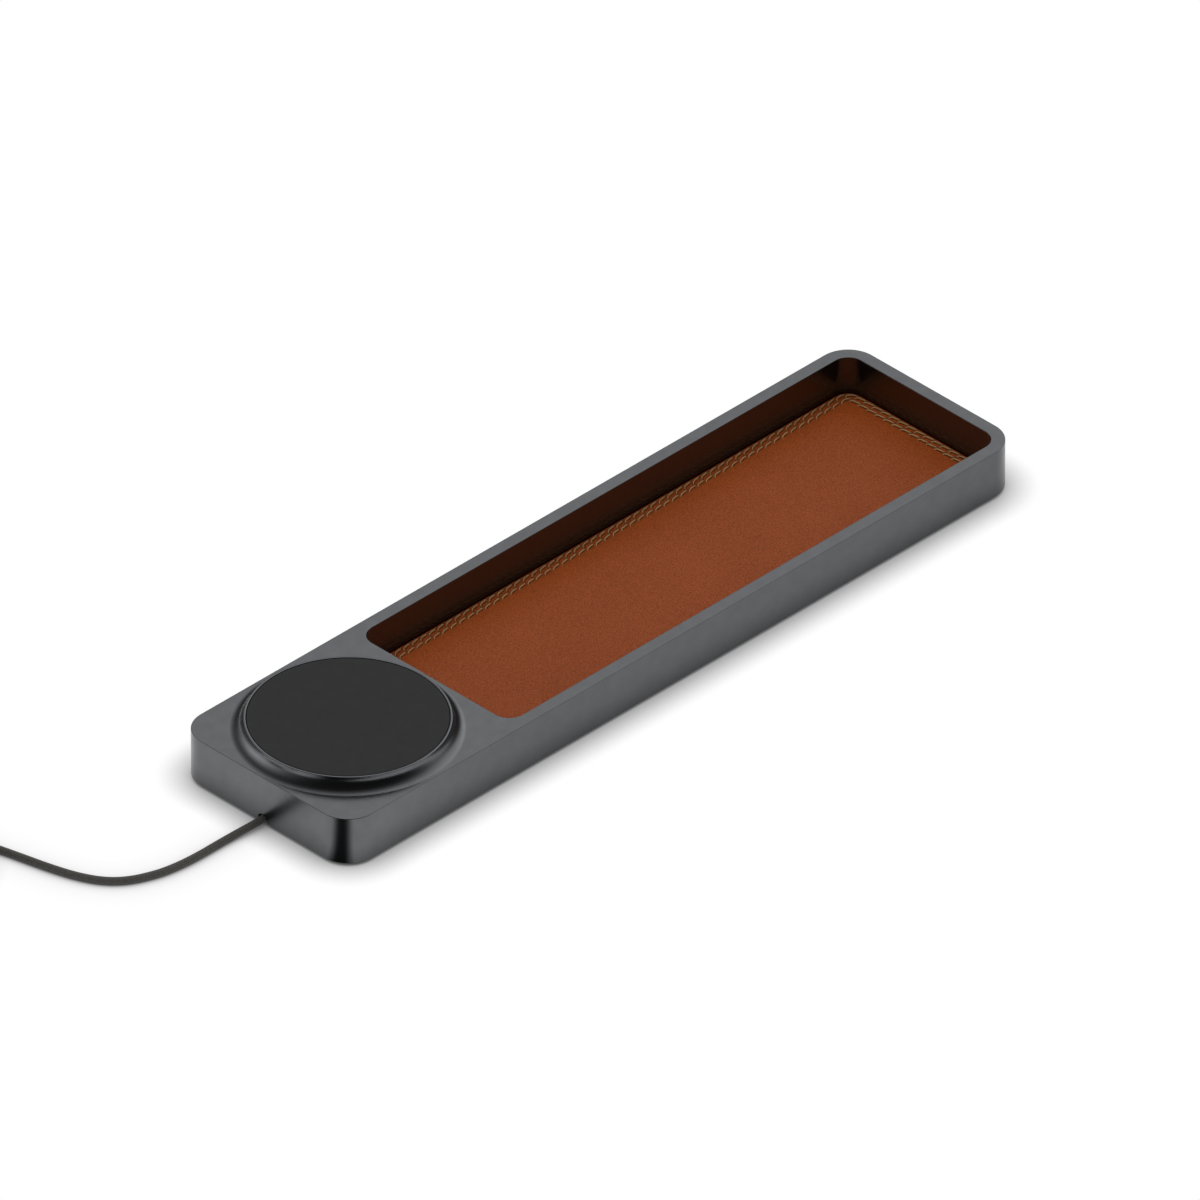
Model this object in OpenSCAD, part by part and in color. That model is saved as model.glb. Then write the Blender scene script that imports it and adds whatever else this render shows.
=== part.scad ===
// Desk charging tray: a machined metal body with a leather-lined pocket, a round charging
// pedestal that flares out of its top, and a thin braided cord. Millimetres, +Z up, origin on
// the table under the middle of the body, +X along the tray towards its far end.

/* [Body] */
// Length of the metal body
body_l = 255; // [225:1:320]
// Width of the metal body
body_w = 65; // [64.5:0.5:90]
// Height of the metal body, without the feet
body_h = 14.5; // [13.5:0.5:22]
// Radius of the body's corners, seen from above
corner_r = 9; // [7:0.5:12]
// Thickness of the walls round the pocket and the charger bay
wall = 3.9; // [3:0.1:5]
// Metal left under the pocket
floor_t = 1.6; // [1.2:0.1:2.4]
// Bevel on the body's outer edges
edge_c = 0.4; // [0.2:0.1:0.8]
// Height that the feet lift the body off the table
foot_gap = 1; // [0.6:0.1:2]

/* [Leather] */
// Thickness of the leather
leather_t = 1; // [0.8:0.1:1.6]
// Thickness of the stiffening board glued under it
liner_t = 0.4; // [0.3:0.1:0.8]
// Gap between the leather's edge and the pocket wall
leather_gap = 0.2; // [0.1:0.05:0.5]

/* [Charging pedestal] */
// Diameter of the soft-touch disc that the phone lies on
disc_d = 54.5; // [48:0.5:55]
// Thickness of that disc
disc_t = 1; // [0.8:0.1:1.4]
// Gap round the disc and the charger module
disc_gap = 0.15; // [0.1:0.05:0.3]
// Width of the pedestal's flat lip
lip_w = 0.65; // [0.5:0.05:1.5]
// Radius of the hollow flare from the lip down to the body's top
cove_r = 3.7; // [2.5:0.1:4.2]
// Flat metal left between the flare and the pocket, and at the body's end
land = 0.6; // [0.4:0.1:3]
// Depth of the module's seat, below the lip
seat_d = 6.6; // [6.4:0.1:7.4]
// Metal left under the seat
web_t = 1.6; // [1.2:0.1:2]

/* [Charger module] */
// Thickness of the module shell's wall and floor
shell_t = 0.7; // [0.5:0.1:0.8]
// Thickness of the adhesive ring under the shell
tape_t = 0.25; // [0.1:0.05:0.4]
// Number of magnets in the ring
magnet_count = 18; // [12:1:24]
// Height of each magnet
magnet_t = 2.4; // [1.5:0.1:2.6]
// Radial width of each magnet
magnet_w = 3; // [2:0.1:3.2]
// Gap between neighbouring magnets
magnet_gap = 0.5; // [0.3:0.1:1]
// Thickness of the steel ring under the magnets
iron_t = 0.7; // [0.5:0.1:0.9]
// Outer diameter of the copper coil
winding_d = 42; // [36:0.5:42]
// Inner diameter of the copper coil
winding_hole_d = 20; // [14:0.5:24]
// Thickness of the copper coil
winding_t = 1.3; // [0.8:0.1:1.5]
// Thickness of the ferrite sheet
ferrite_t = 1; // [0.6:0.1:1.2]

/* [Circuit board] */
// Length of the board along the body
board_l = 34; // [28:1:34]
// Width of the board across the body
board_w = 40; // [32:1:40]
// Thickness of the board
board_t = 1; // [0.8:0.1:1.6]
// Height of the four board posts
post_h = 3; // [2.2:0.1:3.2]
// Diameter of the board screws
board_screw_d = 1.8; // [1.6:0.1:2.2]

/* [Base] */
// Thickness of the bottom cover
cover_t = 1.2; // [1:0.1:1.6]
// Gap round the bottom cover
cover_gap = 0.15; // [0.1:0.05:0.3]
// Width of the ledge that the cover lies on
ledge_w = 1.5; // [1:0.1:1.8]
// Diameter of the cover screws
cover_screw_d = 2.5; // [2:0.1:3]
// Diameter of the rubber feet
foot_d = 12; // [8:0.5:14]
// Depth of the recess that holds each foot
foot_seat = 0.4; // [0.3:0.1:0.5]
// Distance of the feet's centres from the body's ends
foot_end = 12.5; // [11:0.5:16]
// Distance of the feet's centres from the body's sides
foot_side = 11.5; // [11:0.5:13]

/* [Cord] */
// Diameter of the braided cord
cord_d = 2.2; // [1.8:0.1:2.4]
// Width of the notch that the cord leaves by
notch_w = 3.5; // [3:0.1:4.5]
// Height of the cord's axis in the notch
exit_z = 1.8; // [1.6:0.1:2.4]
// Gap kept between neighbouring turns of the stored coil
coil_gap = 0.45; // [0.42:0.01:0.8]
// Turns in the stored coil, over all of its layers
coil_turns = 17.75; // [9.75:2:17.75]
// Mean radius of the stored coil
coil_mean_r = 12; // [12:0.5:14]
// Width of the strap round the stored coil
tie_w = 6; // [4:0.5:6]
// Thickness of the strap
tie_t = 0.7; // [0.5:0.1:0.8]

/* [Plug] */
// Length of the plug's grip
grip_l = 18; // [14:0.5:20]
// Width of the plug's grip
grip_w = 12; // [11:0.5:13]
// Thickness of the plug's grip
grip_t = 6.4; // [5.5:0.1:6.6]
// Length of the bend relief behind the grip
relief_l = 9; // [7:0.5:10]

/* [Hidden] */
$fn = 96;
eps = 0.01;

// Heights, from the table up
body_z = foot_gap;
top_z = body_z + body_h;
floor_z = body_z + floor_t;
leather_z = floor_z + liner_t;
lip_z = top_z + cove_r;
seat_z = lip_z - seat_d;
ceiling_z = seat_z - web_t;
cover_top_z = body_z + cover_t;

// Plan of the pedestal, the pocket and the bay
disc_r = disc_d / 2;
bore_r = disc_r + disc_gap;
lip_r = bore_r + lip_w;
toe_step = 0.05;
cove_cut_r = cove_r - toe_step;
toe_r = lip_r + cove_cut_r;
end_x = body_l / 2;
puck_x = -end_x + land + toe_r;
pocket_x0 = puck_x + toe_r + land;
pocket_x1 = end_x - wall;
pocket_w = body_w - 2 * wall;
inner_r = corner_r - wall;
bay_x0 = -end_x + wall;
bay_x1 = pocket_x0 - wall + 0.4;
web_hole_r = 6;

// Bottom cover and its screws
cover_x0 = bay_x0 - ledge_w;
cover_x1 = bay_x1 + ledge_w;
cover_side = pocket_w + 2 * ledge_w;
boss_r = 3.5;
boss_in = 3.3;
cover_thread_l = 5;
head_h = 1;
cover_spots = [[bay_x0 + boss_in, 11], [bay_x0 + boss_in, -11],
    [bay_x1 - boss_in, pocket_w / 2 - boss_in], [bay_x1 - boss_in, boss_in - pocket_w / 2]];
foot_spots = [for (x = [-1, 1], y = [-1, 1]) [x * (end_x - foot_end), y * (body_w / 2 - foot_side)]];
foot_t = foot_gap + foot_seat;

// Charger module, from its seat up
shell_z = seat_z + tape_t;
inside_z = shell_z + shell_t;
disc_z = lip_z - disc_t;
shell_in_r = disc_r - shell_t;
magnet_r = shell_in_r - 0.3;
frame_r = magnet_r - magnet_w - 0.3;
frame_t = 0.6;
winding_z = inside_z + ferrite_t;
lead_d = 0.8;
lead_y = 1.2;

// Circuit board
board_x0 = bay_x1 - 2.8 - board_l;
board_top_z = ceiling_z - post_h;
board_z = board_top_z - board_t;
post_r = 2.4;
post_in = 3;
board_spots = [for (x = [post_in, board_l - post_in], y = [-1, 1])
    [board_x0 + x, y * (board_w / 2 - post_in)]];
socket_l = 4.2;
socket_h = 3;

// Cord clamp
clamp_x0 = bay_x0 + 10;
clamp_l = 5.6;
clamp_w = 16;
clamp_t = 1.6;
clamp_z = cover_top_z + 3.8;
clamp_screw_d = 1.8;
clamp_screw_y = 5.2;
clamp_open = 0.2;
screw_fit = 0.05;

// The cord's way over the table. Each point is measured from the middle of the body's end,
// at table height, with -X leading away from the body.
cord_way = [[wall, 0, exit_z], [0, 0, exit_z], [-3.5, 0.1, 1.7], [-7.5, 0.4, 1.5], [-12.3, 0.8, 1.2],
    [-17.3, 0.9, 1.1], [-22.3, 0.9, 1.1], [-27, 1.1, 1.1], [-31.4, 1.6, 1.1], [-35.5, 2.4, 1.1],
    [-39.1, 3.6, 1.1], [-42.5, 5.1, 1.1], [-45.5, 7, 1.1], [-48, 9.3, 1.1], [-50.1, 12.1, 1.1],
    [-51.8, 15.3, 1.1], [-53.3, 19, 1.1], [-54.5, 22.9, 1.1], [-55.6, 27, 1.1], [-56.6, 31.3, 1.1],
    [-57.7, 36, 1.1], [-58.9, 41, 1.1], [-60.1, 46, 1.1], [-61.3, 51, 1.1], [-62.5, 56, 1.1]];
cord_route = [for (p = cord_way) [p[0] - end_x, p[1], p[2]]];
coil_start = cord_route[len(cord_route) - 1];
coil_heading = atan2(5, -1.2);

// The stored coil: layers that spiral in and out, then a tail across the top to the plug
layers = 4;
loop_steps = 24;
coil_pitch = cord_d + coil_gap;
layer_turns = coil_turns / layers;
coil_out_r = coil_mean_r + layer_turns * coil_pitch / 2;
coil_in_r = coil_mean_r - layer_turns * coil_pitch / 2;
climb = 0.5;
lead_in = 1.1 * cord_d;
tail_r = 7;
tail_turn = 121.5;
tail_steps = 9;
rest_gap = 0.4;
tie_angle = 95;
tie_fit = 0.15;
tie_lift = tie_t + tie_fit;
// The tail climbs until the plug's grip just clears the top layer
tail_rise = cord_d / 2 + rest_gap + grip_t / 2 - coil_pitch;

function unit(v) = v / norm(v);
function smooth(x) = let (s = max(0, min(1, x))) s * s * (3 - 2 * s);
function sum(list, i = 0) = i < len(list) ? list[i] + sum(list, i + 1) : 0;

// Direction of travel at each point of a path, square to the ends
function headings(path) = let (last = len(path) - 1)
    [for (i = [0 : last]) unit(path[min(i + 1, last)] - path[max(i - 1, 0)])];

// Radius and height of the coil after a number of turns
function coil_r(turns) = let (layer = floor(turns / layer_turns), f = turns - layer * layer_turns)
    coil_out_r - coil_pitch * (layer % 2 == 0 ? f : layer_turns - f);
function over_tie(angle) = smooth((100 - abs((angle - tie_angle + 540) % 360 - 180)) / 60);
function coil_z(turns) = cord_d / 2 + tie_lift * over_tie(turns * 360)
    + coil_pitch * sum([for (k = [1 : layers]) smooth((turns - k * layer_turns) / climb + 0.5)]);

// The coil's own frame has its centre at the origin and the cord arriving along +Y
wound_turns = coil_turns + climb / 2;
coil_points = [for (i = [0 : round(wound_turns * loop_steps)]) let (t = i / loop_steps)
    [coil_r(t) * cos(t * 360), coil_r(t) * sin(t * 360), coil_z(t)]];
tail_x = coil_r(wound_turns);
tail_z = cord_d / 2 + layers * coil_pitch;
tail_points = [for (i = [1 : tail_steps]) let (b = tail_turn * i / tail_steps)
    [tail_x - tail_r + tail_r * cos(b), tail_r * sin(b), tail_z + tail_rise * smooth(i / tail_steps)]];
tail_way = [cos(90 + tail_turn), sin(90 + tail_turn), 0];
tail_end = tail_points[tail_steps - 1] + 1.2 * cord_d * tail_way;
coil_path = concat([[coil_out_r, -lead_in, cord_d / 2]], coil_points, tail_points, [tail_end]);

// Least gap between parts of the coil more than half a turn apart
coil_least_gap = min([for (i = [0 : len(coil_path) - 1], j = [i + loop_steps / 2 : 1 : len(coil_path) - 1])
    norm(coil_path[i] - coil_path[j])]) - cord_d;
echo(coil_least_gap = coil_least_gap);
echo(coil_length = sum([for (i = [1 : len(coil_path) - 1]) norm(coil_path[i] - coil_path[i - 1])]));
echo(run_length = sum([for (i = [2 : len(cord_route) - 1]) norm(cord_route[i] - cord_route[i - 1])]));

// Rectangle with true round corners, centred
module rounded_rect(l, w, r) {
    square([l - 2 * r, w], center = true);
    square([l, w - 2 * r], center = true);
    for (x = [-1, 1], y = [-1, 1])
        translate([x * (l / 2 - r), y * (w / 2 - r)]) circle(r);
}

// The same outline given by its two ends along X
module span_rect(x0, x1, w, r) {
    translate([(x0 + x1) / 2, 0]) rounded_rect(x1 - x0, w, r);
}

module stadium(l, w) {
    square([l - w, w], center = true);
    for (x = [-1, 1]) translate([x * (l - w) / 2, 0]) circle(w / 2);
}

// Slab with round corners and a bevel round its top and bottom edges
module beveled_slab(l, w, h, r, c) {
    for (x = [-1, 1], y = [-1, 1]) translate([x * (l / 2 - r), y * (w / 2 - r), 0])
        rotate_extrude() polygon([[0, 0], [r - c, 0], [r, c], [r, h - c], [r - c, h], [0, h]]);
    rotate([90, 0, 90]) linear_extrude(l - 2 * r, center = true) bevel_profile(w, h, c);
    rotate([90, 0, 0]) linear_extrude(w - 2 * r, center = true) bevel_profile(l, h, c);
}

module bevel_profile(w, h, c) {
    polygon([[-w / 2, c], [c - w / 2, 0], [w / 2 - c, 0], [w / 2, c],
        [w / 2, h - c], [w / 2 - c, h], [c - w / 2, h], [-w / 2, h - c]]);
}

// Tube along a path that never points straight up; rings have their flats on top and below
module tube(path, r, sides) {
    way = headings(path);
    rings = [for (i = [0 : len(path) - 1]) let (s = unit(cross([0, 0, 1], way[i])), u = cross(way[i], s))
        [for (k = [0 : sides - 1]) let (a = (k + 0.5) * 360 / sides)
            path[i] + r * (cos(a) * s + sin(a) * u)]];
    skin(rings);
}

// Closed skin over rings of equally many points, each ring clockwise seen along the path
module skin(rings) {
    n = len(rings[0]);
    last = (len(rings) - 1) * n;
    polyhedron([for (ring = rings) each ring], concat(
        [[for (k = [0 : n - 1]) k]],
        [[for (k = [n - 1 : -1 : 0]) last + k]],
        [for (i = [0 : n : last - n], k = [0 : n - 1]) let (m = (k + 1) % n)
            each [[i + k, i + n + k, i + n + m], [i + k, i + n + m, i + m]]]));
}

module ring_between(r0, r1, h) {
    difference() {
        cylinder(h = h, r = r1);
        translate([0, 0, -eps]) cylinder(h = h + 2 * eps, r = r0);
    }
}

// Countersunk screw standing on its head, head face at z = 0
module flat_screw(d, l, head) {
    difference() {
        union() {
            cylinder(h = head, r1 = d, r2 = d / 2);
            cylinder(h = l, r = d / 2);
        }
        for (a = [0, 90]) rotate(a) cube([1.3 * d, 0.28 * d, head], center = true);
    }
}

module pan_screw(d, l, head) {
    difference() {
        union() {
            translate([0, 0, -head]) cylinder(h = head, r1 = 0.85 * d, r2 = d);
            cylinder(h = l, r = d / 2);
        }
        for (a = [0, 90]) rotate(a) translate([0, 0, -head]) cube([1.1 * d, 0.28 * d, head], center = true);
    }
}

// Solid of revolution that stands on the body's top and carries the charger module
module pedestal() {
    translate([puck_x, 0, 0]) rotate_extrude() {
        translate([0, ceiling_z]) square([lip_r, lip_z - ceiling_z]);
        difference() {
            translate([lip_r - eps, top_z - 2]) square([toe_r - lip_r + eps, lip_z - top_z + 2]);
            translate([toe_r, lip_z]) circle(cove_cut_r);
        }
    }
}

// Charger bay, open below, less the bosses and posts that stand in it
module bay_void() {
    difference() {
        translate([0, 0, body_z - eps]) linear_extrude(ceiling_z - body_z + eps)
            span_rect(bay_x0, bay_x1, pocket_w, inner_r);
        for (p = cover_spots) translate([p[0], p[1], cover_top_z])
            cylinder(h = body_h, r = boss_r);
        for (p = board_spots) translate([p[0], p[1], board_top_z])
            cylinder(h = body_h, r = post_r);
        translate([clamp_x0, -clamp_w / 2, clamp_z + clamp_open]) cube([clamp_l, clamp_w, body_h]);
    }
}

module tray_body() color("dimgray") {
    difference() {
        union() {
            translate([0, 0, body_z]) beveled_slab(body_l, body_w, body_h, corner_r, edge_c);
            pedestal();
        }
        // Pocket
        translate([0, 0, floor_z]) linear_extrude(body_h)
            span_rect(pocket_x0, pocket_x1, pocket_w, inner_r);
        // Seat of the charger module and the hole for its leads
        translate([puck_x, 0, seat_z]) cylinder(h = seat_d + 1, r = bore_r);
        translate([puck_x, 0, ceiling_z - 1]) cylinder(h = web_t + 2, r = web_hole_r);
        bay_void();
        // Ledge for the bottom cover
        translate([0, 0, body_z - 1]) linear_extrude(cover_t + 1)
            span_rect(cover_x0, cover_x1, cover_side, inner_r + ledge_w);
        // Screw holes
        for (p = cover_spots) translate([p[0], p[1], cover_top_z - eps])
            cylinder(h = cover_thread_l, d = cover_screw_d + 2 * screw_fit);
        for (p = board_spots) translate([p[0], p[1], board_top_z - eps])
            cylinder(h = post_h - 0.4, d = board_screw_d + 2 * screw_fit);
        for (y = [-1, 1]) translate([clamp_x0 + clamp_l / 2, y * clamp_screw_y, clamp_z])
            cylinder(h = 3.6, d = clamp_screw_d + 2 * screw_fit);
        // Saddle for the cord above the clamp
        translate([clamp_x0 - 1, 0, clamp_z]) rotate([0, 90, 0]) cylinder(h = clamp_l + 2, d = cord_d);
        // Arched notch for the cord in the end wall
        translate([-end_x - 1, 0, exit_z]) rotate([0, 90, 0]) cylinder(h = wall + 2, d = notch_w);
        translate([-end_x - 1, -notch_w / 2, body_z - 1]) cube([wall + 2, notch_w, exit_z - body_z + 1]);
        // Recesses for the two feet under the pocket
        for (p = foot_spots) if (p[0] > 0) translate([p[0], p[1], body_z - 1])
            cylinder(h = 1 + foot_seat, d = foot_d + 0.3);
    }
}

module base_cover() color("black") {
    slot_x = bay_x0 + 5.5;
    difference() {
        translate([0, 0, body_z]) linear_extrude(cover_t)
            span_rect(cover_x0 + cover_gap, cover_x1 - cover_gap, cover_side - 2 * cover_gap,
                inner_r + ledge_w - cover_gap);
        for (p = cover_spots) translate([p[0], p[1], body_z]) {
            translate([0, 0, -eps]) cylinder(h = head_h + eps, r1 = cover_screw_d + screw_fit,
                r2 = cover_screw_d / 2 + screw_fit);
            cylinder(h = cover_t + 1, d = cover_screw_d + 2 * screw_fit);
        }
        for (p = foot_spots) if (p[0] < 0) translate([p[0], p[1], body_z - 1])
            cylinder(h = 1 + foot_seat, d = foot_d + 0.3);
        // Slot that lets the cord rise into the bay
        translate([slot_x, 0, body_z - 1]) cylinder(h = cover_t + 2, d = notch_w);
        translate([-end_x, -notch_w / 2, body_z - 1]) cube([end_x + slot_x, notch_w, cover_t + 2]);
    }
}

module cover_screws() color("silver") {
    for (p = cover_spots) translate([p[0], p[1], body_z])
        flat_screw(cover_screw_d, cover_t + cover_thread_l - 0.6, head_h);
}

module rubber_feet() color("black") {
    for (p = foot_spots) translate([p[0], p[1], 0]) rotate_extrude()
        polygon([[0, 0], [foot_d / 2 - 0.5, 0], [foot_d / 2, 0.5], [foot_d / 2, foot_t], [0, foot_t]]);
}

module liner_board() color("tan") {
    translate([0, 0, floor_z]) linear_extrude(liner_t)
        span_rect(pocket_x0 + leather_gap, pocket_x1 - leather_gap, pocket_w - 2 * leather_gap,
            inner_r - leather_gap);
}

// Leather panel with its top edge skived round
module leather_panel() color("sienna") {
    skive = 0.25;
    x0 = pocket_x0 + leather_gap;
    x1 = pocket_x1 - leather_gap;
    w = pocket_w - 2 * leather_gap;
    r = inner_r - leather_gap;
    translate([(x0 + x1) / 2, 0, leather_z]) difference() {
        beveled_slab(x1 - x0, w, leather_t + skive, r, skive);
        translate([0, 0, -1]) linear_extrude(1 + skive) square([body_l, body_w], center = true);
    }
}

module puck_tape() color("gray") {
    translate([puck_x, 0, seat_z]) ring_between(web_hole_r + 6, disc_r - 0.5, tape_t);
}

module puck_shell() color("silver") {
    translate([puck_x, 0, 0]) difference() {
        translate([0, 0, shell_z]) cylinder(h = disc_z - shell_z, r = disc_r);
        translate([0, 0, inside_z]) cylinder(h = seat_d, r = shell_in_r);
        translate([0, 0, shell_z - 1]) cylinder(h = shell_t + 2, r = web_hole_r - 1);
    }
}

module back_iron() color("gray") {
    translate([puck_x, 0, inside_z]) ring_between(magnet_r - magnet_w, magnet_r, iron_t);
}

module magnet_ring() color("lightgray") {
    step = 360 / magnet_count;
    gap_angle = magnet_gap / magnet_r * 180 / PI;
    translate([puck_x, 0, inside_z + iron_t]) for (i = [0 : magnet_count - 1])
        rotate(i * step) rotate_extrude(angle = step - gap_angle)
            translate([magnet_r - magnet_w, 0]) square([magnet_w, magnet_t]);
}

// Moulded ring that centres the coil and keeps the magnets out of its field
module coil_frame() color("white") {
    translate([puck_x, 0, inside_z]) difference() {
        ring_between(frame_r - frame_t, frame_r, iron_t + magnet_t);
        // Gap for the winding's outer end
        rotate(180) translate([0, -1, ferrite_t]) cube([frame_r + 1, 2, magnet_t]);
    }
}

module ferrite_disc() color("dimgray") {
    translate([puck_x, 0, inside_z]) ring_between(web_hole_r - 2, winding_d / 2 + 0.1, ferrite_t);
}

module charging_coil() color("peru") {
    translate([puck_x, 0, winding_z]) ring_between(winding_hole_d / 2, winding_d / 2, winding_t);
}

// Two wires from the winding's inner edge down through the web to the board
module coil_leads() color("orange") {
    z = winding_z + winding_t / 2;
    x = winding_hole_d / 2;
    path = [[x, z], [x - 2.5, z], [3.8, z], [2.6, z - 0.4], [2, z - 1.4], [1.8, z - 2.6],
        [1.8, board_top_z + 1], [1.8, board_top_z]];
    sides = 8;
    for (y = [-lead_y, lead_y]) translate([puck_x, y, 0]) {
        line = [for (p = path) [p[0], 0, p[1]]];
        way = headings(line);
        skin([for (i = [0 : len(line) - 1]) let (u = cross([0, 1, 0], way[i]))
            [for (k = [0 : sides - 1]) let (a = -k * 360 / sides)
                line[i] + lead_d / 2 * (cos(a) * [0, 1, 0] + sin(a) * u)]]);
    }
}

module puck_face() color([0.2, 0.2, 0.2]) {
    c = 0.15;
    translate([puck_x, 0, disc_z]) rotate_extrude()
        polygon([[0, 0], [disc_r, 0], [disc_r, disc_t - c], [disc_r - c, disc_t], [0, disc_t]]);
}

module circuit_board() color("darkgreen") {
    difference() {
        translate([0, 0, board_z]) linear_extrude(board_t)
            span_rect(board_x0, board_x0 + board_l, board_w, 2);
        for (p = board_spots) translate([p[0], p[1], board_z - 1])
            cylinder(h = board_t + 2, d = board_screw_d + 0.4);
    }
}

module board_screws() color("silver") {
    for (p = board_spots) translate([p[0], p[1], board_z])
        pan_screw(board_screw_d, board_t + post_h - 0.6, 1.1);
}

// Parts soldered under the board: two power chokes, a controller, capacitors and a crystal can
module board_parts() color([0.25, 0.25, 0.28]) {
    mid_x = board_x0 + board_l / 2;
    translate([mid_x, 0, board_z]) mirror([0, 0, 1]) {
        for (y = [-1, 1]) translate([9, y * 6, 0]) {
            linear_extrude(2.6) rounded_rect(6.6, 6.6, 1);
        }
        linear_extrude(0.9) translate([-1, 5]) square(5, center = true);
        linear_extrude(0.8) translate([-1, -6]) square([4, 5], center = true);
        for (y = [-13, -10.5, 10.5, 13]) translate([0, y, 0])
            linear_extrude(0.9) square([3.2, 1.6], center = true);
        for (y = [-13, 13]) translate([7, y, 0]) cylinder(h = 1.4, d = 4);
    }
}

// Socket that the cord's inner end plugs into
module cord_socket() color("ivory") {
    translate([board_x0 + 2, -3, board_z - socket_h]) cube([socket_l, 6, socket_h]);
}

module cord_clamp() color("black") {
    difference() {
        translate([clamp_x0 + clamp_l / 2, 0, clamp_z - clamp_open - clamp_t]) linear_extrude(clamp_t)
            rounded_rect(clamp_l, clamp_w, 1);
        translate([clamp_x0 - 1, 0, clamp_z]) rotate([0, 90, 0]) cylinder(h = clamp_l + 2, d = cord_d);
        for (y = [-1, 1]) translate([clamp_x0 + clamp_l / 2, y * clamp_screw_y, clamp_z - 3])
            cylinder(h = 4, d = clamp_screw_d + 2 * screw_fit);
    }
}

module clamp_screws() color("silver") {
    for (y = [-1, 1])
        translate([clamp_x0 + clamp_l / 2, y * clamp_screw_y, clamp_z - clamp_open - clamp_t])
            pan_screw(clamp_screw_d, clamp_t + 2 * clamp_open + 2.8, 1);
}

// The cord inside the bay, from the notch up through the clamp to its socket
module cord_inner() color([0.2, 0.2, 0.18]) {
    socket_z = board_z - socket_h / 2;
    x1 = clamp_x0 + clamp_l;
    x2 = board_x0 + 2;
    tube([[bay_x0, 0, exit_z], [bay_x0 + 1.8, 0, exit_z], [bay_x0 + 4.4, 0, exit_z + 0.2 * (clamp_z - exit_z)],
        [bay_x0 + 6.8, 0, exit_z + 0.62 * (clamp_z - exit_z)], [clamp_x0 - 1, 0, clamp_z - 0.2],
        [clamp_x0, 0, clamp_z], [x1, 0, clamp_z], [x1 + 0.3 * (x2 - x1), 0, clamp_z - 0.3 * (clamp_z - socket_z)],
        [x2 - 1.2, 0, socket_z], [x2, 0, socket_z]], cord_d / 2 - 0.03, 8);
}

module cord_run() color([0.2, 0.2, 0.18]) tube(cord_route, cord_d / 2, 8);

// Puts the coil's own frame at the end of the free cord
module at_coil() {
    translate([coil_start[0], coil_start[1], 0]) rotate(coil_heading - 90)
        translate([-coil_out_r, lead_in, 0]) children();
}

module cord_coil() color([0.2, 0.2, 0.18]) at_coil() tube(coil_path, cord_d / 2, 6);

// Strap round the bundle of turns
module cord_tie() color([0.15, 0.15, 0.15]) {
    in_r = sqrt(coil_in_r * coil_in_r - tie_w * tie_w / 4) - cord_d / 2 - tie_fit;
    out_r = coil_out_r + cord_d / 2 + tie_fit;
    stack_h = (layers - 1) * coil_pitch + cord_d + 2 * tie_fit;
    bend_r = cord_d / 2 + tie_fit;
    at_coil() rotate(tie_angle) translate([(in_r + out_r) / 2, 0, tie_t + stack_h / 2])
        rotate([90, 0, 0]) linear_extrude(tie_w, center = true) difference() {
            rounded_rect(out_r - in_r + 2 * tie_t, stack_h + 2 * tie_t, bend_r + tie_t);
            rounded_rect(out_r - in_r, stack_h, bend_r);
        }
}

// Puts the plug's axis along X at the end of the coil's tail
module at_plug() {
    at_coil() translate(tail_end) rotate(90 + tail_turn) rotate([0, 90, 0]) rotate(90) children();
}

module plug_relief() color([0.2, 0.2, 0.2]) {
    slope = (grip_t / 2 - 1.2 - cord_d / 2 - 0.35) / relief_l;
    ring_l = relief_l / 9;
    at_plug() rotate_extrude() polygon(concat([[0, 0]],
        [for (i = [0 : 8], e = [0, 1]) let (z = (i + e) * ring_l)
            [cord_d / 2 + 0.35 + slope * z - (i % 2 == 1 ? 0.25 : 0), z]],
        [[0, relief_l]]));
}

module plug_grip() color([0.25, 0.25, 0.25]) {
    at_plug() translate([0, 0, relief_l]) linear_extrude(grip_l) stadium(grip_w, grip_t);
}

shell_w = 8.3;
shell_h = 2.5;
shell_l = 6.6;
shell_wall = 0.3;

module plug_shell() color("silver") {
    at_plug() translate([0, 0, relief_l + grip_l]) linear_extrude(shell_l) difference() {
        stadium(shell_w, shell_h);
        stadium(shell_w - 2 * shell_wall, shell_h - 2 * shell_wall);
    }
}

// Insulator inside the plug's shell, with the slot for the socket's tongue
module plug_liner() color("black") {
    at_plug() translate([0, 0, relief_l + grip_l]) difference() {
        linear_extrude(shell_l - 0.5) stadium(shell_w - 2 * shell_wall, shell_h - 2 * shell_wall);
        translate([0, 0, 1]) linear_extrude(shell_l) square([6.7, 1], center = true);
    }
}

tray_body();
base_cover();
cover_screws();
rubber_feet();
liner_board();
leather_panel();
puck_tape();
puck_shell();
back_iron();
magnet_ring();
coil_frame();
ferrite_disc();
charging_coil();
coil_leads();
puck_face();
circuit_board();
board_screws();
board_parts();
cord_socket();
cord_clamp();
clamp_screws();
cord_inner();
cord_run();
cord_coil();
cord_tie();
plug_relief();
plug_grip();
plug_shell();
plug_liner();
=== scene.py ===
import bpy
import bmesh
import math
import numpy as np
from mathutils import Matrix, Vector
from mathutils.geometry import delaunay_2d_cdt


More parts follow.
